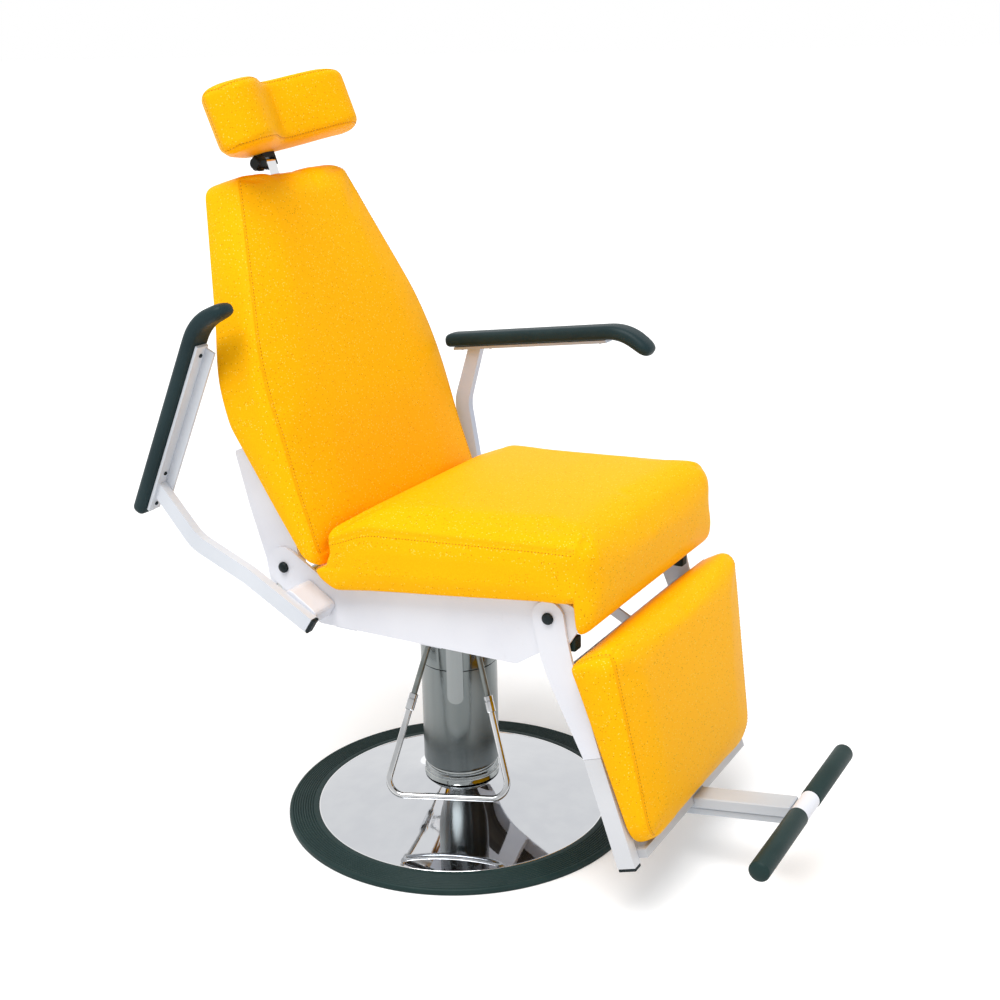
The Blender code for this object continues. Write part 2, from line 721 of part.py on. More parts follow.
def make_seat_frame():
    half = plate_inner - GAP
    size = DECK_SIDE / 2
    mesh = box_mesh("seat_subframe", (-size, -size, deck), (size, size, beam_bottom))
    deck_obj = add("seat_subframe", mesh, WHITE_PAINT)
    for name, y in (("front", -BEAM_OFFSET), ("rear", BEAM_OFFSET)):
        low = (-half, y - BEAM_DEPTH / 2, beam_bottom - DECK_PLATE / 2)
        high = (half, y + BEAM_DEPTH / 2, beam_top)
        boolean(deck_obj, cutter("beam_" + name, box_mesh("beam", low, high)), "UNION")
    bolt_hole = BOLT_RADIUS + PIN_CLEARANCE
    holes = [
        circle(BACK_PIVOT_Y, pivot_z, bolt_hole), circle(LEG_PIVOT_Y, pivot_z, bolt_hole),
        circle(ARM_PIVOT_Y, pivot_z - ARM_PIVOT_DROP, ARM_PIN + PIN_CLEARANCE),
    ]
    for side, sign in (("left", 1), ("right", -1)):
        low, high = sorted((sign * plate_inner, sign * HALF_WIDTH))
        mesh = plate_mesh("seat_side_plate_" + side, [seat_plate_outline(), *holes], low, high)
        add("seat_side_plate_" + side, mesh, WHITE_PAINT)
        head, end = sign * (HALF_WIDTH + GAP), sign * (back_inner + 0.002)
        bolt("back_pivot_bolt_" + side, head, end, BACK_PIVOT_Y, pivot_z)
        head, end = sign * (leg_outer + GAP), sign * (plate_inner - 0.004)
        bolt("leg_pivot_bolt_" + side, head, end, LEG_PIVOT_Y, pivot_z)
        at = (ARM_PIVOT_Y, pivot_z - ARM_PIVOT_DROP)
        ends = ((sign * (plate_inner - 0.003), *at), (sign * (ARM_CENTRE - ARM_TUBE_DEPTH), *at))
        add("arm_pin_" + side, rod_mesh("arm_pin_" + side, ARM_PIN, *ends), STEEL)
        low = (0, LEG_PIVOT_Y - 0.039, pivot_z - 0.052)
        high = (STOP_SIDE, LEG_PIVOT_Y - 0.039 + STOP_SIDE, pivot_z - 0.052 + STOP_SIDE)
        stop = add("leg_stop_" + side, box_mesh("leg_stop_" + side, low, high), BLACK_RUBBER)
        stop.location.x = plate_inner - GAP - STOP_SIDE if sign > 0 else -(plate_inner - GAP)
        round_edges(stop, 0.003)
    low = (-half, BOARD_FRONT, board_top - BOARD_THICKNESS)
    high = (half, BOARD_REAR, board_top)
    add("seat_board", box_mesh("seat_board", low, high), PLYWOOD)


def make_seat_cushion():
    """Seat pad that overhangs the side plates, with a front lip in front of them."""
    middle = (SEAT_FRONT + seat_rear) / 2
    depth = (seat_rear - SEAT_FRONT) / 2
    height = (SEAT_TOP + SEAT_DROP) / 2
    front_edge = LEG_PIVOT_Y - PLATE_FRONT - 0.0015

    def shape(at):
        x, y, z = at
        across = 1 - (x / SEAT_HALF) ** 2
        along = 1 - (y / depth) ** 2
        share = (z + height) / (2 * height)
        rearward = ease(y, 0, depth)
        top = SEAT_TOP - SEAT_FALL * (y + depth) / (2 * depth) + SEAT_CROWN * across * along
        top -= SEAT_DIP * ease(y, 0.45 * depth, depth)
        bottom = -SEAT_DROP
        drawn = 1 - 0.010 * along * (1 - abs(2 * share - 1))
        lean = (blend(bottom, top, share) - SEAT_REAR_RISE) * math.tan(LEAN) * rearward
        return Vector((x * drawn, middle + y + lean, pivot_z + blend(bottom, top, share)))

    lines = ((-0.5, 0.5), (-0.5, 0.5), ())
    pad = cushion("seat_cushion", (SEAT_HALF, depth, height), SEAT_EDGE, lines, shape, LEATHERETTE)
    inner = plate_inner - 0.004
    outline = [
        (front_edge, pivot_z - 0.1), (front_edge, pivot_z + SEAT_SIDE_FRONT - 0.002),
        (front_edge + 0.006, pivot_z + SEAT_SIDE_FRONT), (LEG_PIVOT_Y, pivot_z + SEAT_SIDE_FRONT),
        (SEAT_SIDE_END, pivot_z + SEAT_SIDE_REAR), (seat_rear + 0.1, pivot_z + SEAT_SIDE_REAR - 0.012),
        (seat_rear + 0.1, pivot_z - 0.1),
    ]
    for side, sign in (("left", 1), ("right", -1)):
        low, high = sorted((sign * inner, sign * (SEAT_HALF + 0.02)))
        room = cutter("plate_room_" + side, plate_mesh("plate_room", [outline], low, high))
        low, high = sorted((sign * (leg_inner - PLAY / 2), sign * (leg_outer + PLAY)))
        first = (low, LEG_PIVOT_Y - SWING_RELIEF, pivot_z - 0.08)
        last = (high, front_edge + 0.01, pivot_z + 0.02)
        boolean(room, cutter("swing_room_" + side, box_mesh("swing_room", first, last)), "UNION")
        boolean(pad, room)


def make_back(back):
    """Parts in the back's own frame: X across, -Y out of its front, Z up along it."""
    pin = LEVER * Vector((math.sin(LEVER_ANGLE + LEAN), -math.cos(LEVER_ANGLE + LEAN)))
    end = CROSS_TUBE + 0.008
    outline = rounded(
        [
            (ARM_PLATE_NARROW - back_rear(ARM_PLATE_TOP), ARM_PLATE_TOP, 0.006),
            (ARM_PLATE_WIDE - 0.010, 0.110, 0.03),
            (ARM_PLATE_WIDE - 0.008, 0.020, 0.02),
            (pin.x + end, pin.y - 0.2 * end, 0.010),
            (pin.x, pin.y - 1.2 * end, 0.012),
            (pin.x - end, pin.y - 0.4 * end, 0.010),
            (-NOSE_RADIUS + 0.006, -0.012, 0.014),
            (-NOSE_RADIUS, 0.030, 0.014),
            (-back_rear(0.075) + 2 * PLAY, 0.075, 0.03),
            (-back_rear(0.16) + 2 * PLAY, 0.16, 0.03),
            (-back_rear(ARM_PLATE_TOP) + 2 * PLAY, ARM_PLATE_TOP, 0.003),
        ],
        4,
    )
    holes = [circle(0, 0, BOLT_RADIUS + PIN_CLEARANCE), circle(pin.x, pin.y, CROSS_TUBE + PIN_CLEARANCE)]
    for side, sign in (("left", 1), ("right", -1)):
        low, high = sorted((sign * back_inner, sign * back_outer))
        mesh = plate_mesh("back_arm_" + side, [outline, *holes], low, high)
        add("back_arm_" + side, mesh, WHITE_PAINT, back)
    ends = ((-back_outer + 0.003, pin.x, pin.y), (back_outer - 0.003, pin.x, pin.y))
    add("back_cross_tube", rod_mesh("back_cross_tube", CROSS_TUBE, *ends), STEEL, back)
    rear = -BACK_REAR_LOW + 2 * PLAY
    low = (-back_inner + GAP, rear, MOUNT_LOW)
    high = (back_inner - GAP, rear + MOUNT_PLATE, MOUNT_HIGH)
    add("back_mount_plate", box_mesh("back_mount_plate", low, high), WHITE_PAINT, back)


def back_half(up):
    """Half width of the back at a height along it."""
    drop = BACK_HALF_BOTTOM - BACK_HALF_SHOULDER
    if up < BACK_SHOULDER:
        return BACK_HALF_BOTTOM - drop * max(0.0, (up - BACK_WAIST) / (BACK_SHOULDER - BACK_WAIST)) ** 2
    return blend(BACK_HALF_SHOULDER, BACK_HALF_TOP, (up - BACK_SHOULDER) / (BACK_TOP - BACK_SHOULDER))


def back_rear(up):
    """How far the back's rear face stands in front of its pivot."""
    step = BACK_REAR_LOW + (BACK_REAR_HIGH - BACK_REAR_LOW) * ease(up, BACK_STEP_LOW, BACK_STEP_HIGH)
    return step + BACK_UNDERCUT * max(0.0, BACK_UNDERCUT_TOP - up)


def make_back_cushion(back):
    height = (BACK_TOP - BACK_BOTTOM) / 2
    middle = (BACK_TOP + BACK_BOTTOM) / 2
    depth = BACK_FRONT / 2

    def shape(at):
        x, y, z = at
        up = middle + z
        across = x / BACK_HALF_BOTTOM
        along = z / height
        corner = max(0.0, up - (BACK_TOP - BACK_CORNER)) / BACK_CORNER
        half = back_half(up) - BACK_CORNER * (1 - math.sqrt(max(0.0, 1 - corner ** 2)))
        front = BACK_FRONT + BACK_CROWN * (1 - across ** 2) * (1 - along ** 2)
        front -= BACK_ROLL * (across ** 8 + along ** 16)
        share = (depth - y) / (2 * depth)
        drawn = 1 - 0.010 * (1 - along ** 2) * (1 - abs(2 * share - 1))
        heel = BACK_HEEL - BACK_SLANT * share + BACK_TOE * (max(0.0, share - 0.55) / 0.45) ** 2
        heel *= 1 - ease(up, BACK_BOTTOM, BACK_BOTTOM + BACK_FADE)
        return Vector((across * half * drawn, -blend(back_rear(up), front, share), up + heel))

    lines = ((-0.7, 0.7), (-0.36, 0.25), (-0.84, -0.68, -0.3, -0.04, 0.16, 0.34, 0.6))
    half = (BACK_HALF_BOTTOM, depth, height)
    pad = cushion("back_cushion", half, BACK_EDGE, lines, shape, LEATHERETTE, back)
    slot = (POST_WIDTH / 2 + PLAY, POST_DEPTH / 2 + PLAY)
    low = (-slot[0], -POST_FORWARD - slot[1], BACK_TOP - POST_INSERT - HEAD_DOWN - 0.010)
    high = (slot[0], -POST_FORWARD + slot[1], BACK_TOP + 0.05)
    boolean(pad, cutter("post_slot", box_mesh("post_slot", low, high), back))


def make_head(back):
    """Post that slides in the back, and the winged head rest that tilts on it."""
    radius = POST_DEPTH / 2
    half = POST_WIDTH / 2
    outline = [
        *[(radius * math.cos(a), radius * math.sin(a)) for a in arc(0, 180, 9)],
        (-radius, -POST_INSERT - HEAD_HINGE), (radius, -POST_INSERT - HEAD_HINGE),
    ]
    hinge = pivot("head_hinge", (0, -POST_FORWARD, hinge_up), (LEAN - HEAD_LEAN, 0, 0), back)
    hole = circle(0, 0, 0.0035 + PIN_CLEARANCE, 12)
    mesh = plate_mesh("head_post", [outline, hole], -half, half)
    add("head_post", mesh, CHROME, hinge, (0, 0, 0), (HEAD_LEAN - LEAN, 0, 0))
    ear_low = half + GAP
    base = radius + PLAY
    outer = ear_low + EAR
    stem = HEAD_LIFT + 0.030
    mesh = box_mesh("head_bracket", (-outer, -radius, base), (outer, radius, stem))
    bracket = add("head_bracket", mesh, BLACK_PLASTIC, hinge)
    for side, sign in (("left", 1), ("right", -1)):
        low, high = sorted((sign * ear_low, sign * outer))
        ear = box_mesh("ear", (low, -radius, -radius), (high, radius, base + 0.004))
        boolean(bracket, cutter("ear_" + side, ear, hinge), "UNION")
    bore = rod_mesh("ear_bore", 0.0035 + PIN_CLEARANCE, (-0.03, 0, 0), (0.03, 0, 0), 12)
    boolean(bracket, cutter("ear_bore", bore, hinge))
    start = -outer - GAP
    grip = start - KNOB_LENGTH
    profile = [
        (0, 0), (KNOB_RADIUS - 0.004, 0), (KNOB_RADIUS, -0.004), (KNOB_RADIUS, 0.008 - KNOB_LENGTH),
        (KNOB_RADIUS - 0.004, -KNOB_LENGTH), (0.0035, -KNOB_LENGTH), (0.0035, -KNOB_LENGTH - 2 * outer - GAP),
        (0, -KNOB_LENGTH - 2 * outer - GAP),
    ]
    turned("head_knob", profile, BLACK_PLASTIC, False, 24, hinge, (grip, 0, 0), (0, -math.pi / 2, 0))
    make_head_cushion(hinge, radius, outer, stem)


def make_head_cushion(hinge, radius, outer, stem):
    depth = 0.5 * HEAD_WING
    height = HEAD_HEIGHT / 2

    def shape(at):
        x, y, z = at
        reach = min(1.0, abs(x) / HEAD_CREST)
        past = max(0.0, abs(x) - HEAD_CREST) / (HEAD_HALF - HEAD_CREST)
        front = HEAD_VALLEY + HEAD_SWEEP * ease(reach, -0.1, 1.0) - HEAD_CUT * past ** 2
        rear = -HEAD_REAR + HEAD_WRAP * (abs(x) / HEAD_HALF) ** 1.4
        share = (depth - y) / (2 * depth)
        up = HEAD_LIFT + height + z - HEAD_DROOP * (x / HEAD_HALF) ** 2
        return Vector((x, -blend(rear, front, share), up))

    lines = ((-0.74, -0.42, 0, 0.42, 0.74), (), ())
    half = (HEAD_HALF, depth, height)
    turn = (0, HEAD_ROLL, HEAD_TURN)
    pad = cushion("head_cushion", half, HEAD_EDGE, lines, shape, LEATHERETTE, hinge, turn)
    low = (-outer - GAP, -radius - GAP, 0)
    high = (outer + GAP, radius + GAP, stem + GAP)
    boolean(pad, cutter("head_socket", box_mesh("head_socket", low, high), hinge))


def make_leg(leg):
    """Parts in the leg rest's own frame: X across, -Y out of its front, -Z down along it."""
    outline = rounded(
        [
            *[(BRACKET_TOP * math.cos(a), BRACKET_TOP * math.sin(a), 0) for a in arc(10, 175, 9)],
            (-0.021, -0.030, 0.01),
            (-BAR_WIDTH / 2 - 0.002, -0.070, 0.02),
            (-BAR_WIDTH / 2, -BAR_SEAM + GAP, 0),
            (BAR_WIDTH / 2, -BAR_SEAM + GAP, 0),
            (BRACKET_HIP - 0.003, -0.105, 0.03),
            (BRACKET_HIP, -0.060, 0.02),
            (BRACKET_HIP - 0.005, -0.015, 0.02),
        ],
        4,
    )
    hole = circle(0, 0, BOLT_RADIUS + PIN_CLEARANCE)
    for side, sign in (("left", 1), ("right", -1)):
        low, high = sorted((sign * leg_inner, sign * leg_outer))
        mesh = plate_mesh("leg_bracket_" + side, [outline, hole], low, high)
        add("leg_bracket_" + side, mesh, WHITE_PAINT, leg)
        half = BAR_WIDTH / 2
        low, high = sorted((sign * (leg_outer - BAR_DEPTH), sign * leg_outer))
        body = box_mesh("leg_bar_" + side, (low, -half, -BAR_END), (high, half, -BAR_SEAM))
        bar = add("leg_bar_" + side, body, WHITE_PAINT, leg)
        low, high = sorted((sign * (leg_outer - BAR_DEPTH), sign * (leg_inner - GAP)))
        thin = half - 0.001
        lap = box_mesh("lap", (low, -thin, -BAR_SEAM - 0.020), (high, thin, -BAR_SEAM + BAR_LAP))
        boolean(bar, cutter("lap_" + side, lap, leg), "UNION")
        low, high = sorted((sign * (leg_outer - BAR_DEPTH), sign * leg_outer))
        top = -BAR_END - GAP
        plug = box_mesh("leg_bar_plug_" + side, (low, -half, top - PLUG_HEIGHT), (high, half, top))
        round_edges(add("leg_bar_plug_" + side, plug, BLACK_PLASTIC, leg), 0.0015)
    make_leg_lever(leg)
    half = leg_outer - BAR_DEPTH - GAP
    top = -LEG_BOTTOM - PLAY
    rear = BAR_WIDTH / 2 - 0.002
    low = (-half, -RAIL_FRONT, top - RAIL_HEIGHT)
    rail = add("leg_bottom_rail", box_mesh("leg_bottom_rail", low, (half, rear, top)), WHITE_PAINT, leg)
    foot = pivot("foot_slide", (0, -FOOT_FORWARD, -FOOT_DOWN), (FOOT_TILT, 0, 0), leg)
    low = (-FOOT_BAR_WIDTH / 2 - PLAY, -0.2, -0.2)
    high = (FOOT_BAR_WIDTH / 2 + PLAY, 0.2, PLAY)
    boolean(rail, cutter("foot_passage", box_mesh("foot_passage", low, high), foot))
    return foot


def make_leg_lever(leg):
    """Cross tube of the leg rest, with the lever that the link pulls."""
    half = leg_inner - GAP
    ends = ((-half, 0, -LEG_TUBE_DOWN), (half, 0, -LEG_TUBE_DOWN))
    tube = add("leg_top_tube", rod_mesh("leg_top_tube", LEG_TUBE, *ends), WHITE_PAINT, leg)
    pin = leg_lever * Vector((math.sin(LEG_LEVER_ANGLE + LEAN), -math.cos(LEG_LEVER_ANGLE + LEAN)))
    outline = rounded(offset_path([(0, -LEG_TUBE_DOWN), (pin.x, pin.y + 0.004)], 0.009))
    mesh = plate_mesh("lever", [outline], lever_low, lever_low + LINK_THICKNESS)
    boolean(tube, cutter("lever_plate", mesh, leg), "UNION")
    ends = ((lever_low + LINK_THICKNESS - 0.001, pin.x, pin.y), (-LINK_THICKNESS, pin.x, pin.y))
    boolean(tube, cutter("lever_pin", rod_mesh("lever_pin", LEVER_PIN, *ends, 16), leg), "UNION")


def make_leg_cushion(leg):
    height = (LEG_BOTTOM - LEG_TOP) / 2
    middle = (LEG_BOTTOM + LEG_TOP) / 2
    depth = LEG_THICK_TOP / 2

    def shape(at):
        x, y, z = at
        down = middle - z
        share_down = (down - LEG_TOP) / (LEG_BOTTOM - LEG_TOP)
        rear = blend(LEG_STAND, BAR_WIDTH / 2 + PLAY, share_down)
        corner = max(0.0, down - (LEG_BOTTOM - LEG_CORNER)) / LEG_CORNER
        half = blend(LEG_HALF_TOP, LEG_HALF_BOTTOM, share_down)
        half -= LEG_CORNER * (1 - math.sqrt(max(0.0, 1 - corner ** 2)))
        across = 1 - (x / LEG_HALF_TOP) ** 2
        along = 1 - (z / height) ** 2
        share = (depth - y) / (2 * depth)
        drawn = 1 - 0.012 * along * (1 - abs(2 * share - 1))
        front = rear + blend(LEG_THICK_TOP, LEG_THICK_BOTTOM, share_down) + LEG_CROWN * across * along
        return Vector((x / LEG_HALF_TOP * half * drawn, -blend(rear, front, share), -down))

    lines = ((-0.6, 0.6), (), (-0.75, 0, 0.75))
    cushion("leg_cushion", (LEG_HALF_TOP, depth, height), LEG_EDGE, lines, shape, LEATHERETTE, leg)


def make_foot_rest(foot):
    half = FOOT_BAR_WIDTH / 2
    low = (-half, -FOOT_REACH + SLEEVE_RADIUS + GAP, -FOOT_BAR_HEIGHT)
    bar = add("foot_bar", box_mesh("foot_bar", low, (half, FOOT_TAIL, 0)), WHITE_PAINT, foot)
    round_edges(bar, 0.002, 1)
    top = -FOOT_BAR_HEIGHT - GAP
    low = (-GUIDE_WIDTH / 2, -GUIDE_REACH, top - GUIDE_HEIGHT)
    mesh = box_mesh("foot_guide", low, (GUIDE_WIDTH / 2, FOOT_TAIL, top))
    guide = add("foot_guide", mesh, WHITE_PAINT, foot)
    round_edges(guide, 0.002, 1)
    axis_z = -FOOT_BAR_HEIGHT / 2
    ends = ((-SLEEVE_HALF, -FOOT_REACH, axis_z), (SLEEVE_HALF, -FOOT_REACH, axis_z))
    sleeve = add("foot_cross_bar", rod_mesh("foot_cross_bar", SLEEVE_RADIUS, *ends), WHITE_PAINT, foot)
    reach = GRIP_HALF - 0.010
    ends = ((-reach, -FOOT_REACH, axis_z), (reach, -FOOT_REACH, axis_z))
    boolean(sleeve, cutter("grip_core", rod_mesh("grip_core", GRIP_CORE, *ends), foot), "UNION")
    length = GRIP_HALF - SLEEVE_HALF - GAP
    bore = GRIP_CORE + PIN_CLEARANCE
    deep = reach - SLEEVE_HALF + GAP
    profile = [
        (0, length), (GRIP_RADIUS - 0.006, length), (GRIP_RADIUS, length - 0.006), (GRIP_RADIUS, 0.002),
        (GRIP_RADIUS - 0.002, 0), (bore, 0), (bore, deep), (0, deep),
    ]
    for side, sign in (("left", 1), ("right", -1)):
        at = (sign * (SLEEVE_HALF + GAP), -FOOT_REACH, axis_z)
        turned("foot_grip_" + side, profile, BLACK_RUBBER, False, 20, foot, at, (0, sign * math.pi / 2, 0))


def make_arm(side, sign, swing):
    """One arm rest in its own frame, upright when in use."""
    arm = pivot("arm_hinge_" + side, (0, ARM_PIVOT_Y, pivot_z - ARM_PIVOT_DROP), (-swing, 0, 0))
    centre = sign * ARM_CENTRE
    low, high = centre - ARM_TUBE_DEPTH / 2, centre + ARM_TUBE_DEPTH / 2

    def under_pad(y):
        drop = (PAD_THICKNESS / 2 + PLAY) / math.cos(pad_rise)
        return PAD_REAR_UP + (PAD_REAR - y) * math.tan(pad_rise) - drop

    path = [
        (0.004, -ARM_FOOT), (0.014, ARM_ELBOW_UP * 0.5),
        (ARM_ELBOW_OUT, ARM_ELBOW_UP), (ARM_HEAD_OUT, ARM_HEAD_UP),
    ]
    corners = offset_path(path, ARM_TUBE_WIDTH / 2, ARM_BEND)
    for i in (len(path) - 1, len(path)):
        corners[i] = (corners[i][0], under_pad(corners[i][0]) - RAIL_PLATE / 2, 0)
    for i in (0, -1):
        corners[i] = (corners[i][0], -ARM_FOOT, 0)
    mesh = plate_mesh("arm_tube_" + side, [rounded(corners)], low, high)
    tube = add("arm_tube_" + side, mesh, WHITE_PAINT, arm)
    rail_low, rail_high = centre - RAIL_PLATE_WIDTH / 2, centre + RAIL_PLATE_WIDTH / 2
    ends = (PAD_REAR - 0.016, PAD_BEND + pad_reach + 0.002)
    outline = [
        (ends[0], under_pad(ends[0])), (ends[1], under_pad(ends[1])),
        (ends[1], under_pad(ends[1]) - RAIL_PLATE), (ends[0], under_pad(ends[0]) - RAIL_PLATE),
    ]
    boolean(tube, cutter("rail_" + side, plate_mesh("rail", [outline], rail_low, rail_high), arm), "UNION")
    top = -ARM_FOOT - GAP
    half = ARM_TUBE_WIDTH / 2
    plug = box_mesh("arm_plug_" + side, (low, 0.004 - half, top - PLUG_HEIGHT), (high, 0.004 + half, top))
    round_edges(add("arm_plug_" + side, plug, BLACK_PLASTIC, arm), 0.0015)
    inner, outer = sorted((sign * (HALF_WIDTH + PLAY), sign * (ARM_CENTRE - ARM_TUBE_DEPTH / 2 - GAP)))
    corners = [
        (-HUB_FRONT, -HUB_LOW, 0.008), (HUB_REAR, -HUB_LOW, 0.008),
        (HUB_REAR, HUB_HIGH, 0.012), (-HUB_FRONT, HUB_HIGH, 0.012),
    ]
    outline = rounded(corners)
    hub = add("arm_hub_" + side, plate_mesh("arm_hub_" + side, [outline], inner, outer), WHITE_PAINT, arm)
    round_edges(hub, 0.004, 1)
    reach = ARM_CENTRE - ARM_TUBE_DEPTH + GAP
    ends = ((sign * (HALF_WIDTH - 0.01), 0, 0), (sign * reach, 0, 0))
    boolean(hub, cutter("hub_bore_" + side, rod_mesh("hub_bore", ARM_PIN + PIN_CLEARANCE, *ends), arm))
    make_arm_pad(side, sign, arm)


def make_arm_pad(side, sign, arm):
    """Long rounded pad, straight and then bent down at its front."""
    rear = Vector((PAD_REAR, PAD_REAR_UP))
    bend = Vector((PAD_BEND, PAD_BEND_UP))
    tip = Vector((PAD_TIP, PAD_TIP_UP))
    turn = pad_rise - pad_fall
    straight = (bend - rear).length - pad_reach
    curved = PAD_BEND_RADIUS * turn
    total = straight + curved + (tip - bend).length - pad_reach

    def ahead(angle):
        return Vector((-math.cos(angle), math.sin(angle)))

    def above(angle):
        return Vector((math.sin(angle), math.cos(angle)))

    centre = rear + straight * ahead(pad_rise) - PAD_BEND_RADIUS * above(pad_rise)

    def shape(at):
        x, y, z = at
        run = total / 2 - y
        angle = pad_rise - max(0.0, min(turn, (run - straight) / PAD_BEND_RADIUS))
        if run < straight:
            spine = rear + run * ahead(pad_rise)
        else:
            past = max(0.0, run - straight - curved)
            spine = centre + PAD_BEND_RADIUS * above(angle) + past * ahead(pad_fall)
        return Vector((sign * ARM_CENTRE + x, *(spine + z * above(angle))))

    lines = ((), (-0.85, -0.78, -0.71, -0.64, -0.57), ())
    half = (PAD_WIDTH / 2, total / 2, PAD_THICKNESS / 2)
    cushion("arm_pad_" + side, half, PAD_THICKNESS * 0.42, lines, shape, BLACK_PLASTIC, arm)


def make_linkage():
    """Gas spring under the seat, and the link from the back to the leg rest."""
    lever = LEVER * Vector((math.sin(LEVER_ANGLE), -math.cos(LEVER_ANGLE)))
    pin = Vector((BACK_PIVOT_Y, pivot_z)) + lever
    lever = leg_lever * Vector((math.sin(LEG_LEVER_ANGLE), -math.cos(LEG_LEVER_ANGLE)))
    leg_pin = Vector((LEG_PIVOT_Y, pivot_z)) + lever
    dip = LEVER * (1 - math.cos(LEVER_ANGLE)) / 2
    gas_z = pin.y - dip
    length = GAS_REAR - GAS_FRONT
    bore = GAS_ROD + PIN_CLEARANCE
    profile = [
        (0, 0.010 - length), (bore, 0.010 - length), (bore, 0),
        (GAS_RADIUS - 0.001, 0), (GAS_RADIUS, -0.001), (GAS_RADIUS, -length), (0, -length),
    ]
    at = (GAS_SIDE, GAS_REAR, gas_z)
    gas = turned("gas_cylinder", profile, BLACK_PLASTIC, False, 20, None, at, (-math.pi / 2, 0, 0))
    low = (GAS_SIDE - 0.008, -BEAM_OFFSET - 0.014, beam_top + GAP)
    high = (GAS_SIDE + 0.008, -BEAM_OFFSET + 0.014, gas_z - GAS_RADIUS * 0.6)
    boolean(gas, cutter("gas_foot", box_mesh("gas_foot", low, high)), "UNION")
    eye = CROSS_TUBE + dip + EYE_SLACK
    start = (GAS_SIDE, GAS_FRONT + 0.030 + LEVER, gas_z)
    end = (GAS_SIDE, pin.x - eye - 0.002, gas_z)
    rod = add("gas_rod", rod_mesh("gas_rod", GAS_ROD, start, end, 16), CHROME)
    outlines = [circle(pin.x, gas_z, eye + EYE_WALL), circle(pin.x, gas_z, eye)]
    eye_mesh = plate_mesh("rod_eye", outlines, GAS_SIDE - 0.006, GAS_SIDE + 0.006)
    boolean(rod, cutter("rod_eye", eye_mesh), "UNION")
    way = (leg_pin - pin).normalized()
    angle = math.degrees(math.atan2(way.y, way.x))
    rear_radius = CROSS_TUBE + EYE_WALL
    front_radius = LEVER_PIN + LINK_SLACK + EYE_WALL
    turns = arc(angle + 40, angle + 320, 11)
    rear = [pin + rear_radius * Vector((math.cos(a), math.sin(a))) for a in turns]
    turns = arc(angle - 140, angle + 140, 11)
    front = [leg_pin + front_radius * Vector((math.cos(a), math.sin(a))) for a in turns]
    holes = [circle(*pin, CROSS_TUBE + PIN_CLEARANCE), circle(*leg_pin, LEVER_PIN + LINK_SLACK)]
    mesh = plate_mesh("link_bar", [[*rear, *front], *holes], -LINK_THICKNESS / 2, LINK_THICKNESS / 2)
    add("link_bar", mesh, STEEL)


make_base()
make_column()
make_pump()
make_bail()
make_seat_frame()
make_seat_cushion()
back_frame = pivot("back_pivot", (0, BACK_PIVOT_Y, pivot_z), (-LEAN, 0, 0))
make_back(back_frame)
make_back_cushion(back_frame)
make_head(back_frame)
leg_frame = pivot("leg_pivot", (0, LEG_PIVOT_Y, pivot_z), (-LEAN, 0, 0))
foot_frame = make_leg(leg_frame)
make_leg_cushion(leg_frame)
make_foot_rest(foot_frame)
make_arm("left", 1, ARM_LEVEL)
make_arm("right", -1, ARM_SWING)
make_linkage()
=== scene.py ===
import json
import math

import bmesh
import bpy
from mathutils import Matrix, Vector
from mathutils.bvhtree import BVHTree

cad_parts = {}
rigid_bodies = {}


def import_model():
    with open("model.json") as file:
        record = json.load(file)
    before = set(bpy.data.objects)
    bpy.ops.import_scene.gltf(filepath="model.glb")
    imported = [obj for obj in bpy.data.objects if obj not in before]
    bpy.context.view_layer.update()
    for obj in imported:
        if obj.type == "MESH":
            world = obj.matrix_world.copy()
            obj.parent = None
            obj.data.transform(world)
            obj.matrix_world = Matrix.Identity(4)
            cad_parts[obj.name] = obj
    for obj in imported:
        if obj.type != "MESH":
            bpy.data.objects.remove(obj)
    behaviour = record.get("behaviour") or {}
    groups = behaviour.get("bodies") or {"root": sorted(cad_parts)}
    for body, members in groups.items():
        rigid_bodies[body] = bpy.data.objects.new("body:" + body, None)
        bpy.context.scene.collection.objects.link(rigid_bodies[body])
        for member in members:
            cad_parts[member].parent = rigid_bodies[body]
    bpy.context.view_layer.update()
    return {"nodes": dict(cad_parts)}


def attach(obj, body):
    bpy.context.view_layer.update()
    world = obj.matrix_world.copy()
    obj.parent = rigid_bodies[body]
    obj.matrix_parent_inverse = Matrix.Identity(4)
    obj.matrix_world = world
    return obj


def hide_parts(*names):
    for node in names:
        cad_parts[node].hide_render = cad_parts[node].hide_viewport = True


for extra in list(bpy.data.objects):
    bpy.data.objects.remove(extra)
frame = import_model()
nodes = frame["nodes"]
scene = bpy.context.scene
scene.view_settings.view_transform = "Standard"


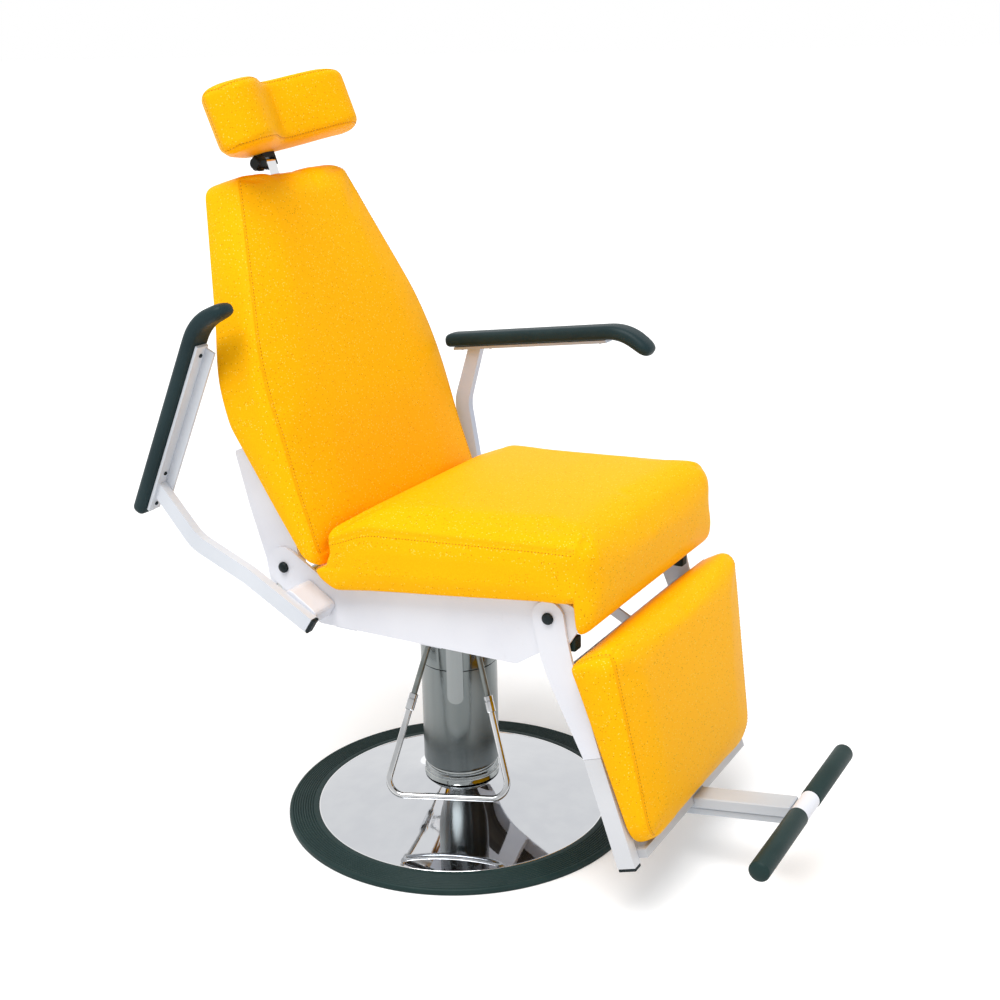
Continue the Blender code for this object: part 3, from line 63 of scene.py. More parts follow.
class Wire:  # one shader socket that can be used in sums
    def __init__(self, tree, socket=None):
        self.tree = tree
        self.socket = socket

    def find(self, sockets, key):
        return next(s for s in sockets if s.enabled and key in (s.identifier, s.name))

    def make(self, kind, settings=None, out=None, **values):
        node = self.tree.nodes.new("ShaderNode" + kind)
        for key, value in (settings or {}).items():
            setattr(node, key, value)
        for key, value in values.items():
            socket = self.find(node.inputs, key.replace("__", " "))
            if isinstance(value, Wire):
                self.tree.links.new(value.socket, socket)
            else:
                socket.default_value = value
        return Wire(self.tree, self.find(node.outputs, out) if out else node.outputs[0])

    def math(self, operation, first, second=0.0):
        return self.make("Math", {"operation": operation}, Value=first, Value_001=second)

    def __add__(self, other):
        return self.math("ADD", self, other)

    def __sub__(self, other):
        return self.math("SUBTRACT", self, other)

    def __rsub__(self, other):
        return self.math("SUBTRACT", other, self)

    def __mul__(self, other):
        return self.math("MULTIPLY", self, other)

    __radd__ = __add__
    __rmul__ = __mul__

    def peak(self, other):
        return self.math("MAXIMUM", self, other)

    def step(self, low, high):  # 0 below low, 1 above high
        return self.make("MapRange", {"interpolation_type": "SMOOTHSTEP"}, Value=self, From__Min=low, From__Max=high)

    def shade(self, dark, light):  # this value picks between two colours
        settings = {"data_type": "RGBA"}
        pair = [c if isinstance(c, Wire) else (*c, 1.0) for c in (dark, light)]
        return self.make("Mix", settings, "Result_Color", Factor_Float=self, A_Color=pair[0], B_Color=pair[1])

    def noise(self, scale, detail=2.0, rough=0.5):
        return self.make("TexNoise", None, "Fac", Vector=self, Scale=scale, Detail=detail, Roughness=rough)

    def stretch(self, scale):
        return self.make("Mapping", None, None, Vector=self, Scale=scale)

    def bump(self, depth, strength=1.0):
        return self.make("Bump", None, None, Height=self, Distance=depth, Strength=strength)


def newFinish(name, **fixed):
    finish = bpy.data.materials.new(name)
    finish.use_nodes = True
    tree = finish.node_tree
    shader = next(n for n in tree.nodes if n.type == "BSDF_PRINCIPLED")
    for key, value in fixed.items():
        shader.inputs[key.replace("__", " ")].default_value = value
    wire = Wire(tree)
    spot = wire.make("TexCoord", None, "Object")

    def feed(**links):
        for key, value in links.items():
            tree.links.new(value.socket, shader.inputs[key.replace("__", " ")])

    return finish, spot, feed


def leatherFinish(name, colour):
    deep, plain, pale = colour
    finish, spot, feed = newFinish(name, Specular__IOR__Level=0.03, Sheen__Weight=0.0)
    cloud = spot.noise(5.0, 2.0)
    grain = spot.noise(520.0, 3.0, 0.65)
    cell = spot.make("TexVoronoi", {"feature": "F1"}, "Distance", Vector=spot, Scale=360.0)
    pick = spot.make("TexVoronoi", {"feature": "F1"}, "Color", Vector=spot, Scale=360.0)
    draw = pick.make("SeparateColor", None, "Red", Color=pick)
    dot = 1 - cell.step(0.20, 0.42)
    pit = dot * (1 - draw.step(0.09, 0.13))
    glint = dot * draw.step(0.80, 0.86)
    seam = spot.make("Attribute", {"attribute_name": "seam"}, "Fac")
    base = cloud.step(0.2, 0.8).shade(deep, plain)
    base = (grain.step(0.38, 0.72) * 0.50).shade(base, pale)
    base = (glint * 0.60).shade(base, (1.0, 0.76, 0.14))
    # painted shade: the dimples in the grain are darkened as well as pressed in by the bump
    base = (pit * 0.70).shade(base, (0.42, 0.16, 0.003))
    # painted shade: darker orange along the seam grooves, driven by the seam mark
    base = (seam * 0.40).shade(base, (0.80, 0.27, 0.003))
    hide = spot.make("TexVoronoi", {"feature": "SMOOTH_F1"}, "Distance", Vector=spot, Scale=620.0)
    height = hide * 0.6 + grain * 0.5 - pit * 0.5
    rough = 0.36 + grain * 0.10 + cloud * 0.04 + pit * 0.15
    feed(Base__Color=base, Roughness=rough, Normal=height.bump(0.00035, 0.35))
    return finish


def metalFinish(name, dark, light, rough, smear, stretch=(1, 1, 1), scuff=0.0):
    finish, spot, feed = newFinish(name)
    film = spot.stretch(stretch).noise(26.0, 4.0)
    fine = spot.stretch(stretch).noise(240.0, 2.0)
    mark = spot.noise(70.0, 5.0, 0.7).step(0.62, 0.74) * scuff
    tone = film.step(0.3, 0.7).shade(dark, light)
    tone = mark.shade(tone, (0.30, 0.31, 0.30))
    feed(Base__Color=tone, Roughness=rough + film * smear + fine * smear * 0.4 + mark * 0.25)
    feed(Metallic=1 - mark * 0.3, Normal=fine.bump(0.00002, 0.25))
    return finish


def paintFinish(name, dark, light, rough):
    finish, spot, feed = newFinish(name, Specular__IOR__Level=0.5)
    cloud = spot.noise(7.0, 4.0)
    peel = spot.noise(420.0, 2.0)
    rub = spot.noise(34.0, 6.0, 0.7).step(0.60, 0.80)
    tone = cloud.step(0.3, 0.7).shade(dark, light)
    tone = (rub * 0.16).shade(tone, (0.42, 0.42, 0.41))
    feed(Base__Color=tone, Roughness=rough + peel * 0.08 + rub * 0.12, Normal=peel.bump(0.00012, 0.30))
    return finish


def darkFinish(name, dark, light, rough, grainScale, grainDepth, dust):
    finish, spot, feed = newFinish(name, Specular__IOR__Level=0.16)
    cloud = spot.noise(14.0, 4.0)
    grain = spot.noise(grainScale, 3.0, 0.6)
    film = spot.noise(48.0, 6.0, 0.7).step(0.50, 0.80) * dust
    tone = (cloud * 0.5 + grain * 0.5).step(0.3, 0.7).shade(dark, light)
    tone = film.shade(tone, (0.10, 0.12, 0.12))
    feed(Base__Color=tone, Roughness=rough + grain * 0.14 + film * 0.25, Normal=grain.bump(grainDepth, 0.4))
    return finish


def boardFinish(name):
    finish, spot, feed = newFinish(name)
    run = spot.stretch((6.0, 1.0, 40.0)).noise(12.0, 6.0, 0.65)
    pore = spot.stretch((40.0, 3.0, 40.0)).noise(30.0, 3.0)
    # painted shade: the board is stained near black so the seat's underside shows dark, also in the dome's reflection;
    # the grain is real
    tone = run.step(0.3, 0.7).shade((0.035, 0.028, 0.022), (0.075, 0.060, 0.045))
    feed(Base__Color=tone, Roughness=0.6 + pore * 0.2, Normal=(run * 0.6 + pore * 0.4).bump(0.0004, 0.5))
    return finish


yellow = ((0.98, 0.440, 0.002), (1.0, 0.460, 0.003), (1.0, 0.56, 0.006))
leather = leatherFinish("yellowLeatherette", yellow)
thread = leatherFinish("yellowThread", ((0.34, 0.13, 0.004), (0.44, 0.18, 0.006), (0.80, 0.42, 0.04)))
mirror = metalFinish("mirrorChrome", (0.76, 0.77, 0.78), (0.80, 0.80, 0.81), 0.02, 0.012, scuff=0.02)
dish = metalFinish("polishedDish", (0.60, 0.615, 0.645), (0.63, 0.645, 0.670), 0.02, 0.012, scuff=0.02)
# painted reflection: the hoop and bail nuts get a mid-grey chrome with lengthwise light and dark streaks, standing in
# for reflected surroundings
hoopPaintedReflection = metalFinish("hoop_painted_reflection", (0.34, 0.35, 0.36), (0.62, 0.63, 0.64), 0.05, 0.03, (1, 1, 0.05))
# painted reflection: the collar gets a dark chrome with streaks, standing in for dark reflected surroundings
collarPaintedReflection = metalFinish("collarPaintedReflection", (0.22, 0.24, 0.245), (0.42, 0.44, 0.44), 0.04, 0.03, (1, 1, 0.05))
# painted reflection: the column gets a dark greenish chrome with lengthwise streaks, standing in for the grey floor it
# reflects; its satin roughness and scuffs are real
columnPaintedReflection = metalFinish("column_painted_reflection", (0.145, 0.164, 0.166), (0.210, 0.230, 0.231), 0.16, 0.12, (1, 1, 0.05), 0.05)
# painted reflection: the tongue gets the same dark streaked chrome, a little lighter
tonguePaintedReflection = metalFinish("tongue_painted_reflection", (0.215, 0.235, 0.240), (0.290, 0.310, 0.312), 0.14, 0.10, (1, 1, 0.05), 0.05)
steel = metalFinish("plainSteel", (0.42, 0.43, 0.43), (0.56, 0.56, 0.55), 0.26, 0.16, (1, 1, 0.2), 0.15)
zinc = metalFinish("darkZinc", (0.16, 0.18, 0.175), (0.26, 0.28, 0.27), 0.30, 0.16, scuff=0.2)
paint = paintFinish("whitePaint", (0.70, 0.715, 0.775), (0.75, 0.765, 0.820), 0.32)
# painted shade: a darker, bluer copy of the white paint for the near arm's tube and flange
armPaintedShade = paintFinish("armPaintedShade", (0.60, 0.63, 0.68), (0.66, 0.69, 0.74), 0.32)
# painted shade: a darker, bluer copy of the white paint for the far arm's tube, which also cancels the yellow light
# bounced from the cushions
farArmPaintedShade = paintFinish("farArmPaintedShade", (0.47, 0.56, 0.72), (0.53, 0.62, 0.78), 0.32)
# painted shade: a grey copy of the white paint for the foot bar and its guide
barPaintedShade = paintFinish("barPaintedShade", (0.45, 0.49, 0.54), (0.51, 0.55, 0.60), 0.32)
# painted shade: a greyer copy of the white paint for the leg bars
legBarPaintedShade = paintFinish("legBarPaintedShade", (0.60, 0.615, 0.645), (0.65, 0.665, 0.695), 0.32)
# painted shade: a grey copy of the white paint for the leg rest's bottom rail, which sits in shade
railPaintedShade = paintFinish("railPaintedShade", (0.47, 0.48, 0.50), (0.53, 0.54, 0.56), 0.34)
rubber = darkFinish("ribbedRubber", (0.009, 0.024, 0.023), (0.014, 0.034, 0.033), 0.42, 700.0, 0.0002, 0.08)
plastic = darkFinish("blackPlastic", (0.006, 0.012, 0.014), (0.010, 0.018, 0.020), 0.30, 900.0, 0.00015, 0.05)
skin = darkFinish("padSkin", (0.007, 0.020, 0.024), (0.013, 0.032, 0.036), 0.38, 620.0, 0.0003, 0.06)
boardPaintedShade = boardFinish("board_painted_shade")
print("finishes:", len(bpy.data.materials))

chair = {  # the moving frames at rest, in metres and degrees
    "lean": 18.65, "pivotUp": 0.488, "backPivot": 0.1944, "legPivot": -0.2958,
    "headLean": 20.0, "headTurn": 4.4, "headRoll": -3.3, "footTilt": 10.45,
    "armPivot": (0.1175, 0.4434), "armSwing": 57.0, "armLevel": -1.0,
    "bailTurn": 202.5, "bailOut": 0.044, "shaftUp": 0.3565,
}


def turn(degrees, axis="X"):
    return Matrix.Rotation(math.radians(degrees), 4, axis)


def shift(*at):
    return Matrix.Translation(at)


lean = math.radians(chair["lean"])
seatFrame = shift(0, 0, chair["pivotUp"])
backFrame = shift(0, chair["backPivot"], chair["pivotUp"]) @ turn(-chair["lean"])
legFrame = shift(0, chair["legPivot"], chair["pivotUp"]) @ turn(-chair["lean"])
headFrame = backFrame @ shift(0, -0.056, 0.6445) @ turn(chair["lean"] - chair["headLean"])
headPadFrame = headFrame @ turn(chair["headTurn"], "Z") @ turn(chair["headRoll"], "Y")
footFrame = legFrame @ shift(0, -0.031, -0.389) @ turn(chair["footTilt"])
bailFrame = turn(chair["bailTurn"], "Z") @ shift(chair["bailOut"], 0, chair["shaftUp"])
armFrames = {
    "left": shift(0, *chair["armPivot"]) @ turn(-chair["armLevel"]),
    "right": shift(0, *chair["armPivot"]) @ turn(-chair["armSwing"]),
}
sides = (("left", 1), ("right", -1))


def blendTo(low, high, share):
    return low + (high - low) * share


def ease(value, low, high):
    t = max(0.0, min(1.0, (value - low) / (high - low)))
    return t * t * (3 - 2 * t)


def fan(first, step, count):  # angles for an arc
    return [math.radians(first + step * k) for k in range(count)]


def newPiece(name, bm, finish, place=None, sharp=35.0):
    bmesh.ops.recalc_face_normals(bm, faces=bm.faces)
    if place is not None:
        bm.transform(place)
    mesh = bpy.data.meshes.new(name)
    bm.to_mesh(mesh)
    bm.free()
    mesh.shade_smooth()
    if sharp:
        mesh.set_sharp_from_angle(angle=math.radians(sharp))
    piece = bpy.data.objects.new(name, mesh)
    scene.collection.objects.link(piece)
    mesh.materials.append(finish)
    return piece


def settle(piece, body, slot, *replaced):
    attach(piece, body)
    if replaced:
        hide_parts(*replaced)
    return piece


def joinRings(bm, rings):  # a skin over rings of points, closed at both ends
    count = len(rings[0])
    for one, two in zip(rings, rings[1:]):
        for k in range(count):
            m = (k + 1) % count
            bm.faces.new((one[k], one[m], two[m], two[k]))
    bm.faces.new(rings[0])
    bm.faces.new(rings[-1])


def turned(name, profile, finish, place=None, steps=96, closed=True, sharp=35.0):
    bm = bmesh.new()
    rows = []
    for k in range(steps):
        angle = 2 * math.pi * k / steps
        rows.append([bm.verts.new((r * math.cos(angle), r * math.sin(angle), z)) for r, z in profile])
    count = len(profile) if closed else len(profile) - 1
    for k in range(steps):
        one, two = rows[k], rows[(k + 1) % steps]
        for n in range(count):
            m = (n + 1) % len(profile)
            bm.faces.new((one[n], one[m], two[m], two[n]))
    bmesh.ops.remove_doubles(bm, verts=bm.verts, dist=1e-6)
    return newPiece(name, bm, finish, place, sharp)


def bentPath(points, bend, steps=10):  # straight runs joined by arcs
    points = [Vector(p) for p in points]
    path = [points[0]]
    for before, here, after in zip(points, points[1:], points[2:]):
        one, two = (before - here).normalized(), (after - here).normalized()
        half = one.angle(two) / 2
        reach = min(bend / math.tan(half), 0.45 * (before - here).length, 0.45 * (after - here).length)
        radius = reach * math.tan(half)
        middle = here + (one + two).normalized() * radius / math.sin(half)
        start, end = here + one * reach - middle, here + two * reach - middle
        for k in range(steps + 1):
            share = k / steps
            spread = start.angle(end)
            weight = (math.sin((1 - share) * spread), math.sin(share * spread))
            path.append(middle + (start * weight[0] + end * weight[1]) / math.sin(spread))
    path.append(points[-1])
    return path


def tube(name, path, radius, finish, place=None, steps=20):
    bm = bmesh.new()
    rings = []
    side = None
    ends = len(path) - 1
    for n, at in enumerate(path):
        along = (path[min(n + 1, ends)] - path[max(n - 1, 0)]).normalized()
        side = along.orthogonal().normalized() if side is None else (side - along * side.dot(along)).normalized()
        up = along.cross(side)
        ring = []
        for k in range(steps):
            angle = 2 * math.pi * k / steps
            ring.append(bm.verts.new(at + (side * math.cos(angle) + up * math.sin(angle)) * radius))
        rings.append(ring)
    joinRings(bm, rings)
    return newPiece(name, bm, finish, place, 40.0)


def block(bm, low, high, place=None):  # a plain bar, bevelled afterwards
    made = bmesh.ops.create_cube(bm, size=1.0)["verts"]
    low, high = Vector(low), Vector(high)
    for vert in made:
        vert.co = Vector([blendTo(a, b, c + 0.5) for a, b, c in zip(low, high, vert.co)])
        if place is not None:
            vert.co = place @ vert.co
    return made


def softBlock(name, low, high, edge, finish, place):
    bm = bmesh.new()
    block(bm, low, high)
    bmesh.ops.bevel(bm, geom=bm.edges[:], offset=edge, segments=3, profile=0.5, affect="EDGES")
    return newPiece(name, bm, finish, place, 50.0)


baseLook = {
    "ring": 0.310, "inside": 0.2625, "lip": 0.2575, "ribs": 9, "ribFrom": 0.2660, "ribTo": 0.3050, "ribDepth": 0.0016,
    "domeRim": 0.262, "domeTop": 0.0664, "domeLow": 0.0095, "domeRise": 0.043, "domeFlare": 0.010, "domeThick": 0.003,
    "bore": 0.034, "bead": 0.2560,
}


def domeUp(radius):
    b = baseLook
    share = (b["domeRim"] - radius) / (b["domeRim"] - b["domeTop"])
    return b["domeLow"] + b["domeRise"] * share + b["domeFlare"] * max(0.0, share) ** 6


def makeBase():
    b = baseLook
    pitch = (b["ribTo"] - b["ribFrom"]) / b["ribs"]

    def ringUp(radius):
        level = blendTo(0.0120, 0.0104, ease(radius, 0.270, 0.308))
        if b["ribFrom"] < radius < b["ribTo"]:
            wave = 0.5 - 0.5 * math.cos(2 * math.pi * (radius - b["ribFrom"]) / pitch)
            level -= b["ribDepth"] * wave ** 2
        return level

    count = b["ribs"] * 8
    tread = [blendTo(b["ribFrom"], b["ribTo"], n / count) for n in range(count + 1)]
    out = b["ring"]
    edge = [(out - 0.0030, 0.0103), (out - 0.0013, 0.0093), (out - 0.0003, 0.0078), (out, 0.006), (out, 0.0008),
            (out - 0.0006, 0.0)]
    start = domeUp(b["lip"]) + 0.0006
    lip = [(b["lip"], start), (b["lip"], 0.0113), (b["lip"] + 0.0005, 0.0119), (b["lip"] + 0.0015, 0.0121)]
    profile = [*lip, *[(r, ringUp(r)) for r in tread], *edge, (b["inside"], 0.0), (b["inside"], start)]
    settle(turned("ribbed_ring", profile, rubber, steps=192), "base", "black_rubber", "base_ring")
    radii = [blendTo(b["bore"], b["domeRim"], n / 60) for n in range(61)]
    top = [(r, domeUp(max(r, b["domeTop"]))) for r in radii]
    profile = [*top, *[(r, h - b["domeThick"]) for r, h in reversed(top)]]
    settle(turned("polished_dome", profile, dish, steps=192), "base", "chrome", "base_dome")
    level = domeUp(b["bead"])
    bead = [(b["bead"] + 0.0014 * math.cos(a), level + 0.0011 * math.sin(a)) for a in fan(0, 30, 12)]
    settle(turned("dome_bead", bead, mirror, steps=192), "base", "chrome")


columnLook = {
    "radius": 0.0664, "inner": 0.0639, "bore": 0.034, "ramBore": 0.0235, "foot": 0.0624,
    "low": 0.0890, "split": 0.281, "top": 0.3855,
    "slotApart": 0.039, "slotHalf": 0.011, "slotDown": 0.03596, "slotUp": 0.02204, "slotCorner": 0.005,
}


def makeColumn():
    c = columnLook
    out, inner, bore, foot = c["radius"], c["inner"], c["bore"], c["foot"]
    low, split, top = c["low"], c["split"], c["top"]
    collar = [
        (bore, 0.0885), (foot - 0.0016, 0.0885), (foot - 0.0004, 0.0880), (foot, 0.0868), (foot, 0.0805),
        (foot + 0.0012, 0.0798), (foot + 0.0026, 0.0786), (foot + 0.0030, 0.0770), (foot + 0.0026, 0.0754),
        (foot + 0.0012, 0.0742), (foot, 0.0735), (foot, 0.0712), (foot + 0.0010, 0.0688), (foot + 0.0030, 0.0662),
        (foot + 0.0040, 0.0650), (foot + 0.0040, 0.0645), (bore, 0.0645),
    ]
    settle(turned("stepped_collar", collar, collarPaintedReflection, steps=128), "base", "chrome", "column_collar")
    curve = [(out - 0.006 * (1 - math.cos(t)), low + 0.006 * (1 - math.sin(t))) for t in fan(0, 9, 11)]
    skirt = [(inner, split), (out - 0.0006, split), (out, split - 0.0007), *curve, (bore, low), (bore, low + 0.0025),
             (0.0580, low + 0.0025), (inner, low + 0.006)]
    settle(turned("column_skirt", skirt, columnPaintedReflection, steps=128), "base", "chrome", "column_shroud")
    sleeve = [
        (c["ramBore"], top), (out - 0.0030, top), (out - 0.0012, top - 0.0005), (out - 0.0003, top - 0.0014),
        (out, top - 0.0030), (out, split + 0.0012), (out - 0.0006, split + 0.0005), (inner, split + 0.0005),
        (inner, top - 0.0025), (c["ramBore"], top - 0.0025),
    ]
    piece = turned("column_cap", sleeve, columnPaintedReflection, steps=128)
    facing = turn(chair["bailTurn"], "Z") @ shift(0, 0, chair["shaftUp"])
    for _, sign in sides:
        bm = bmesh.new()
        middle = sign * c["slotApart"]
        block(bm, (0, middle - c["slotHalf"], -c["slotDown"]), (0.09, middle + c["slotHalf"], c["slotUp"]))
        outward = [e for e in bm.edges if abs(e.verts[0].co.x - e.verts[1].co.x) > 0.01]
        bmesh.ops.bevel(bm, geom=outward, offset=c["slotCorner"], segments=4, profile=0.5, affect="EDGES")
        carve(piece, newPiece("slot_cutter", bm, columnPaintedReflection, facing))
    settle(piece, "base", "chrome", "column_sleeve")


def carve(piece, cutter):  # cuts now, and leaves no modifier
    cut = piece.modifiers.new("cut", "BOOLEAN")
    cut.operation, cut.solver, cut.object = "DIFFERENCE", "EXACT", cutter
    applyAll(piece)
    bpy.data.objects.remove(cutter)


def applyAll(piece):
    graph = bpy.context.evaluated_depsgraph_get()
    old = piece.data
    piece.data = bpy.data.meshes.new_from_object(piece.evaluated_get(graph))
    piece.modifiers.clear()
    piece.data.name = piece.name
    bpy.data.meshes.remove(old)


bailLook = {
    "entry": (0.020, 0.039, -0.019), "foot": (0.124, 0.1075, -0.258), "shaft": (0, 0.028, 0), "joint": 0.40,
    "forkRadius": 0.005, "forkBend": 0.010, "hoopRadius": 0.0055, "hoopBend": 0.026,
}


def makeBail():
    b = bailLook
    entry, foot, shaft = [Vector(b[key]) for key in ("entry", "foot", "shaft")]
    joint = entry.lerp(foot, b["joint"])
    along = (foot - entry).normalized()

    def flip(p):
        return Vector((p.x, -p.y, p.z))

    end = joint - along * 0.0005
    path = bentPath([end, entry, shaft, flip(shaft), flip(entry), flip(end)], b["forkBend"])
    settle(tube("bail_fork", path, b["forkRadius"], zinc, bailFrame), "bail", "steel", "bail_yoke")
    end = joint + along * 0.0005
    path = bentPath([end, foot, flip(foot), flip(end)], b["hoopBend"], 16)
    settle(tube("bail_hoop", path, b["hoopRadius"], hoopPaintedReflection, bailFrame, 28), "bail", "chrome", "bail_stirrup")
    nut = [(0.0061, 0.014), (0.0070, 0.014), (0.0077, 0.0133), (0.0077, 0.0062), (0.0070, 0.0055), (0.0070, 0.0045),
           (0.0077, 0.0038), (0.0077, -0.0133), (0.0070, -0.014), (0.0061, -0.014)]
    for side, at, way in (("left", joint, along), ("right", flip(joint), flip(along))):
        place = bailFrame @ shift(*at) @ Vector((0, 0, -1)).rotation_difference(way).to_matrix().to_4x4()
        settle(turned("bail_nut_" + side, nut, hoopPaintedReflection, place, 48), "bail", "steel", "bail_joint_" + side)


capLook = {"radius": 0.0092, "rise": 0.0048, "back": (0.2230, chair["backPivot"]), "leg": (0.2290, chair["legPivot"])}


def makeCaps():
    wide = capLook["radius"]
    dome = [(wide * math.cos(t), 0.0022 + capLook["rise"] * math.sin(t)) for t in fan(90, -10, 10)]
    profile = [*dome, (wide, 0.0004), (wide - 0.0004, 0.0), (0.006, 0.0), (0.006, -0.008), (0.0, -0.008)]
    for side, sign in sides:
        for name in ("back", "leg"):
            x, y = capLook[name]
            place = shift(sign * x, y, chair["pivotUp"]) @ turn(sign * 90, "Y")
            cap = turned(name + "_pivot_cap_" + side, profile, plastic, place, 48, False)
            settle(cap, "seat", "black_plastic", f"{name}_pivot_bolt_{side}")


footLook = {
    "ahead": -0.178, "drop": -0.0095, "barHalf": 0.2000, "rollFrom": 0.0305, "rollLong": 0.1840, "rollRadius": 0.0165,
}


def makeFoot():
    f = footLook
    middle = footFrame @ shift(0, f["ahead"], f["drop"])
    end = f["barHalf"]
    sleeve = [(0.010, 0.030), (0.0143, 0.030), (0.0155, 0.0288), (0.0155, -0.0288), (0.0143, -0.030), (0.010, -0.030),
              (0.0098, -end), (0.0, -end), (0.0, end), (0.0098, end)]
    settle(turned("foot_sleeve", sleeve, paint, middle @ turn(90, "Y"), 64), "foot", "white_paint", "foot_cross_bar")
    long, wide = f["rollLong"], f["rollRadius"]
    bulge = [(wide * math.sin(t), long - 0.007 + 0.007 * math.cos(t)) for t in fan(9, 9, 10)]
    profile = [(0.0, long), *bulge, (wide, 0.0022), (wide - 0.0005, 0.0008), (wide - 0.0015, 0.0), (0.0, 0.0)]
    for side, sign in sides:
        place = middle @ shift(sign * f["rollFrom"], 0, 0) @ turn(sign * 90, "Y")
        grip = turned("foot_roll_" + side, profile, rubber, place, 48, False)
        settle(grip, "foot", "black_rubber", "foot_grip_" + side)


knobLook = {"out": 0.0170, "steps": 72, "lobes": 8, "dent": 0.09, "lobedFrom": 0.0112}


def makeKnob():
    rings = [(0.0, 0.0085), (0.0012, 0.0115), (0.0040, 0.0135), (0.0140, 0.0135), (0.0175, 0.0120), (0.0190, 0.0095),
             (0.0196, 0.0090), (0.0220, 0.0088)]
    bm = bmesh.new()
    rows = []
    for out, radius in rings:
        row = []
        for n in range(knobLook["steps"]):
            angle = 2 * math.pi * n / knobLook["steps"]
            dent = knobLook["dent"] * (0.5 - 0.5 * math.cos(knobLook["lobes"] * angle))
            reach = radius * (1 - dent) if radius > knobLook["lobedFrom"] else radius
            row.append(bm.verts.new((-out, reach * math.cos(angle), reach * math.sin(angle))))
        rows.append(row)
    joinRings(bm, rows)
    knob = newPiece("tilt_knob", bm, plastic, headFrame @ shift(-knobLook["out"], 0, 0), 30.0)
    settle(knob, "head", "black_plastic", "head_knob")


makeBase()
makeColumn()
makeBail()
makeCaps()
makeFoot()
makeKnob()
print("turned pieces done")


def axisLines(half, low, high, spacing, extra=()):  # even lines, closing up on the rounded rims
    bends = [math.tan(math.radians(a)) for a in (0, 14, 26, 35, 41)]
    lower = [-half + low - low * t for t in bends]
    upper = [half - high + high * t for t in bends]
    count = max(2, round((upper[0] - lower[0]) / spacing))
    even = [blendTo(lower[0], upper[0], n / count) for n in range(1, count)]
    for more in extra:
        even = [at for at in even if abs(at - more) > 0.002]
        even.append(more)
    return sorted([-half, *lower, *even, *upper, half])


def padGrid(pad):  # rounded box of square cells, moved into the pad's own shape
    half = Vector(pad["half"])
    lines = [axisLines(half[a], *pad["rims"][a], pad["cell"], pad["extra"][a]) for a in range(3)]
    last = [len(line) - 1 for line in lines]
    bm = bmesh.new()
    made = {}

    def corner(*key):
        if key not in made:
            at = Vector([lines[a][key[a]] for a in range(3)])
            edge = pad["edge"](*at)
            core = Vector([max(e - h, min(h - e, c)) for c, h, e in zip(at, half, edge)])
            out = Vector([(c - k) / e for c, k, e in zip(at, core, edge)])
            if out.length > 1e-9:
                out.normalize()
                at = core + Vector([o * e for o, e in zip(out, edge)])
            made[key] = bm.verts.new(pad["frame"] @ pad["shape"](*at))
        return made[key]

    for axis in range(3):
        a, b = [n for n in range(3) if n != axis]
        for end in (0, last[axis]):
            for i in range(last[a]):
                for j in range(last[b]):
                    keys = []
                    for di, dj in ((0, 0), (1, 0), (1, 1), (0, 1)):
                        key = [end, end, end]
                        key[a], key[b] = i + di, j + dj
                        keys.append(corner(*key))
                    bm.faces.new(keys)
    bm.verts.index_update()
    return bm, made, last


def seatSeams(last, inset):  # where the top panel meets the side panels
    return [[(i, j, last[2] - 3 - inset) for j in range(last[1], 4, -1)] for i in (0, last[0])]


def backSeams(last, inset):  # down both front edges
    return [[(i, 0, k) for k in range(last[2] + 1)] for i in (1 + inset, last[0] - 1 - inset)]


def legSeams(last, inset):  # down the front edges and back over the top corners
    runs = []
    for i in (1 + inset, last[0] - 1 - inset):
        runs.append([(i, 0, k) for k in range(last[2] + 1)])
        runs.append([(i, j, last[2]) for j in range(last[1] + 1)])
    return runs


def headSeams(last, inset):  # round the front panel, which wraps round both wings
    rear, low, high = last[1] - 2 - inset, 1 + inset, last[2] - 1 - inset
    runs = []
    for k in (low, high):
        runs.append([(0, j, k) for j in range(rear, 0, -1)] + [(i, 0, k) for i in range(last[0] + 1)]
                    + [(last[0], j, k) for j in range(1, rear + 1)])
    for i in (0, last[0]):
        runs.append([(i, rear, k) for k in range(low, high + 1)])
    return runs


seatPad = {
    "name": "seat_pad", "node": "seat_cushion", "body": "seat", "frame": seatFrame, "fill": 0.9,
    "half": (0.252, 0.2276, 0.080), "rims": ((0.052, 0.052), (0.044, 0.012), (0.030, 0.050)), "cell": 0.012,
    "seams": seatSeams, "groove": 0.0013, "puff": 0.004, "rests": (2, 0), "press": 4.0,
    "extra": ((-0.2125, -0.2090, 0.2090, 0.2125), (-0.2055, -0.2025), (-0.034, -0.028, -0.0222, -0.0163, -0.0110)),
    "middle": -0.1424, "topUp": 0.138, "topFall": 0.022, "crown": 0.006, "dip": 0.030, "under": -0.022,
    "plateUp": (0.0315, -0.014), "plateLong": 0.3838, "tuckOut": 0.040, "frontOut": 0.004,
}


def seatEdge(x, y, z):
    depth, height = seatPad["half"][1:]
    rear = ease(y, 0.2 * depth, 0.85 * depth)
    lip = 1 - ease(y, -0.95 * depth, -0.70 * depth)
    low = blendTo(0.010, 0.030, lip)
    upper = ease(z, -0.6 * height, 0.2 * height)
    side = blendTo(blendTo(0.014, 0.028, lip), blendTo(0.052, 0.040, rear), upper)
    return side, blendTo(0.044, 0.014, rear), blendTo(low, blendTo(0.050, 0.040, rear), upper)


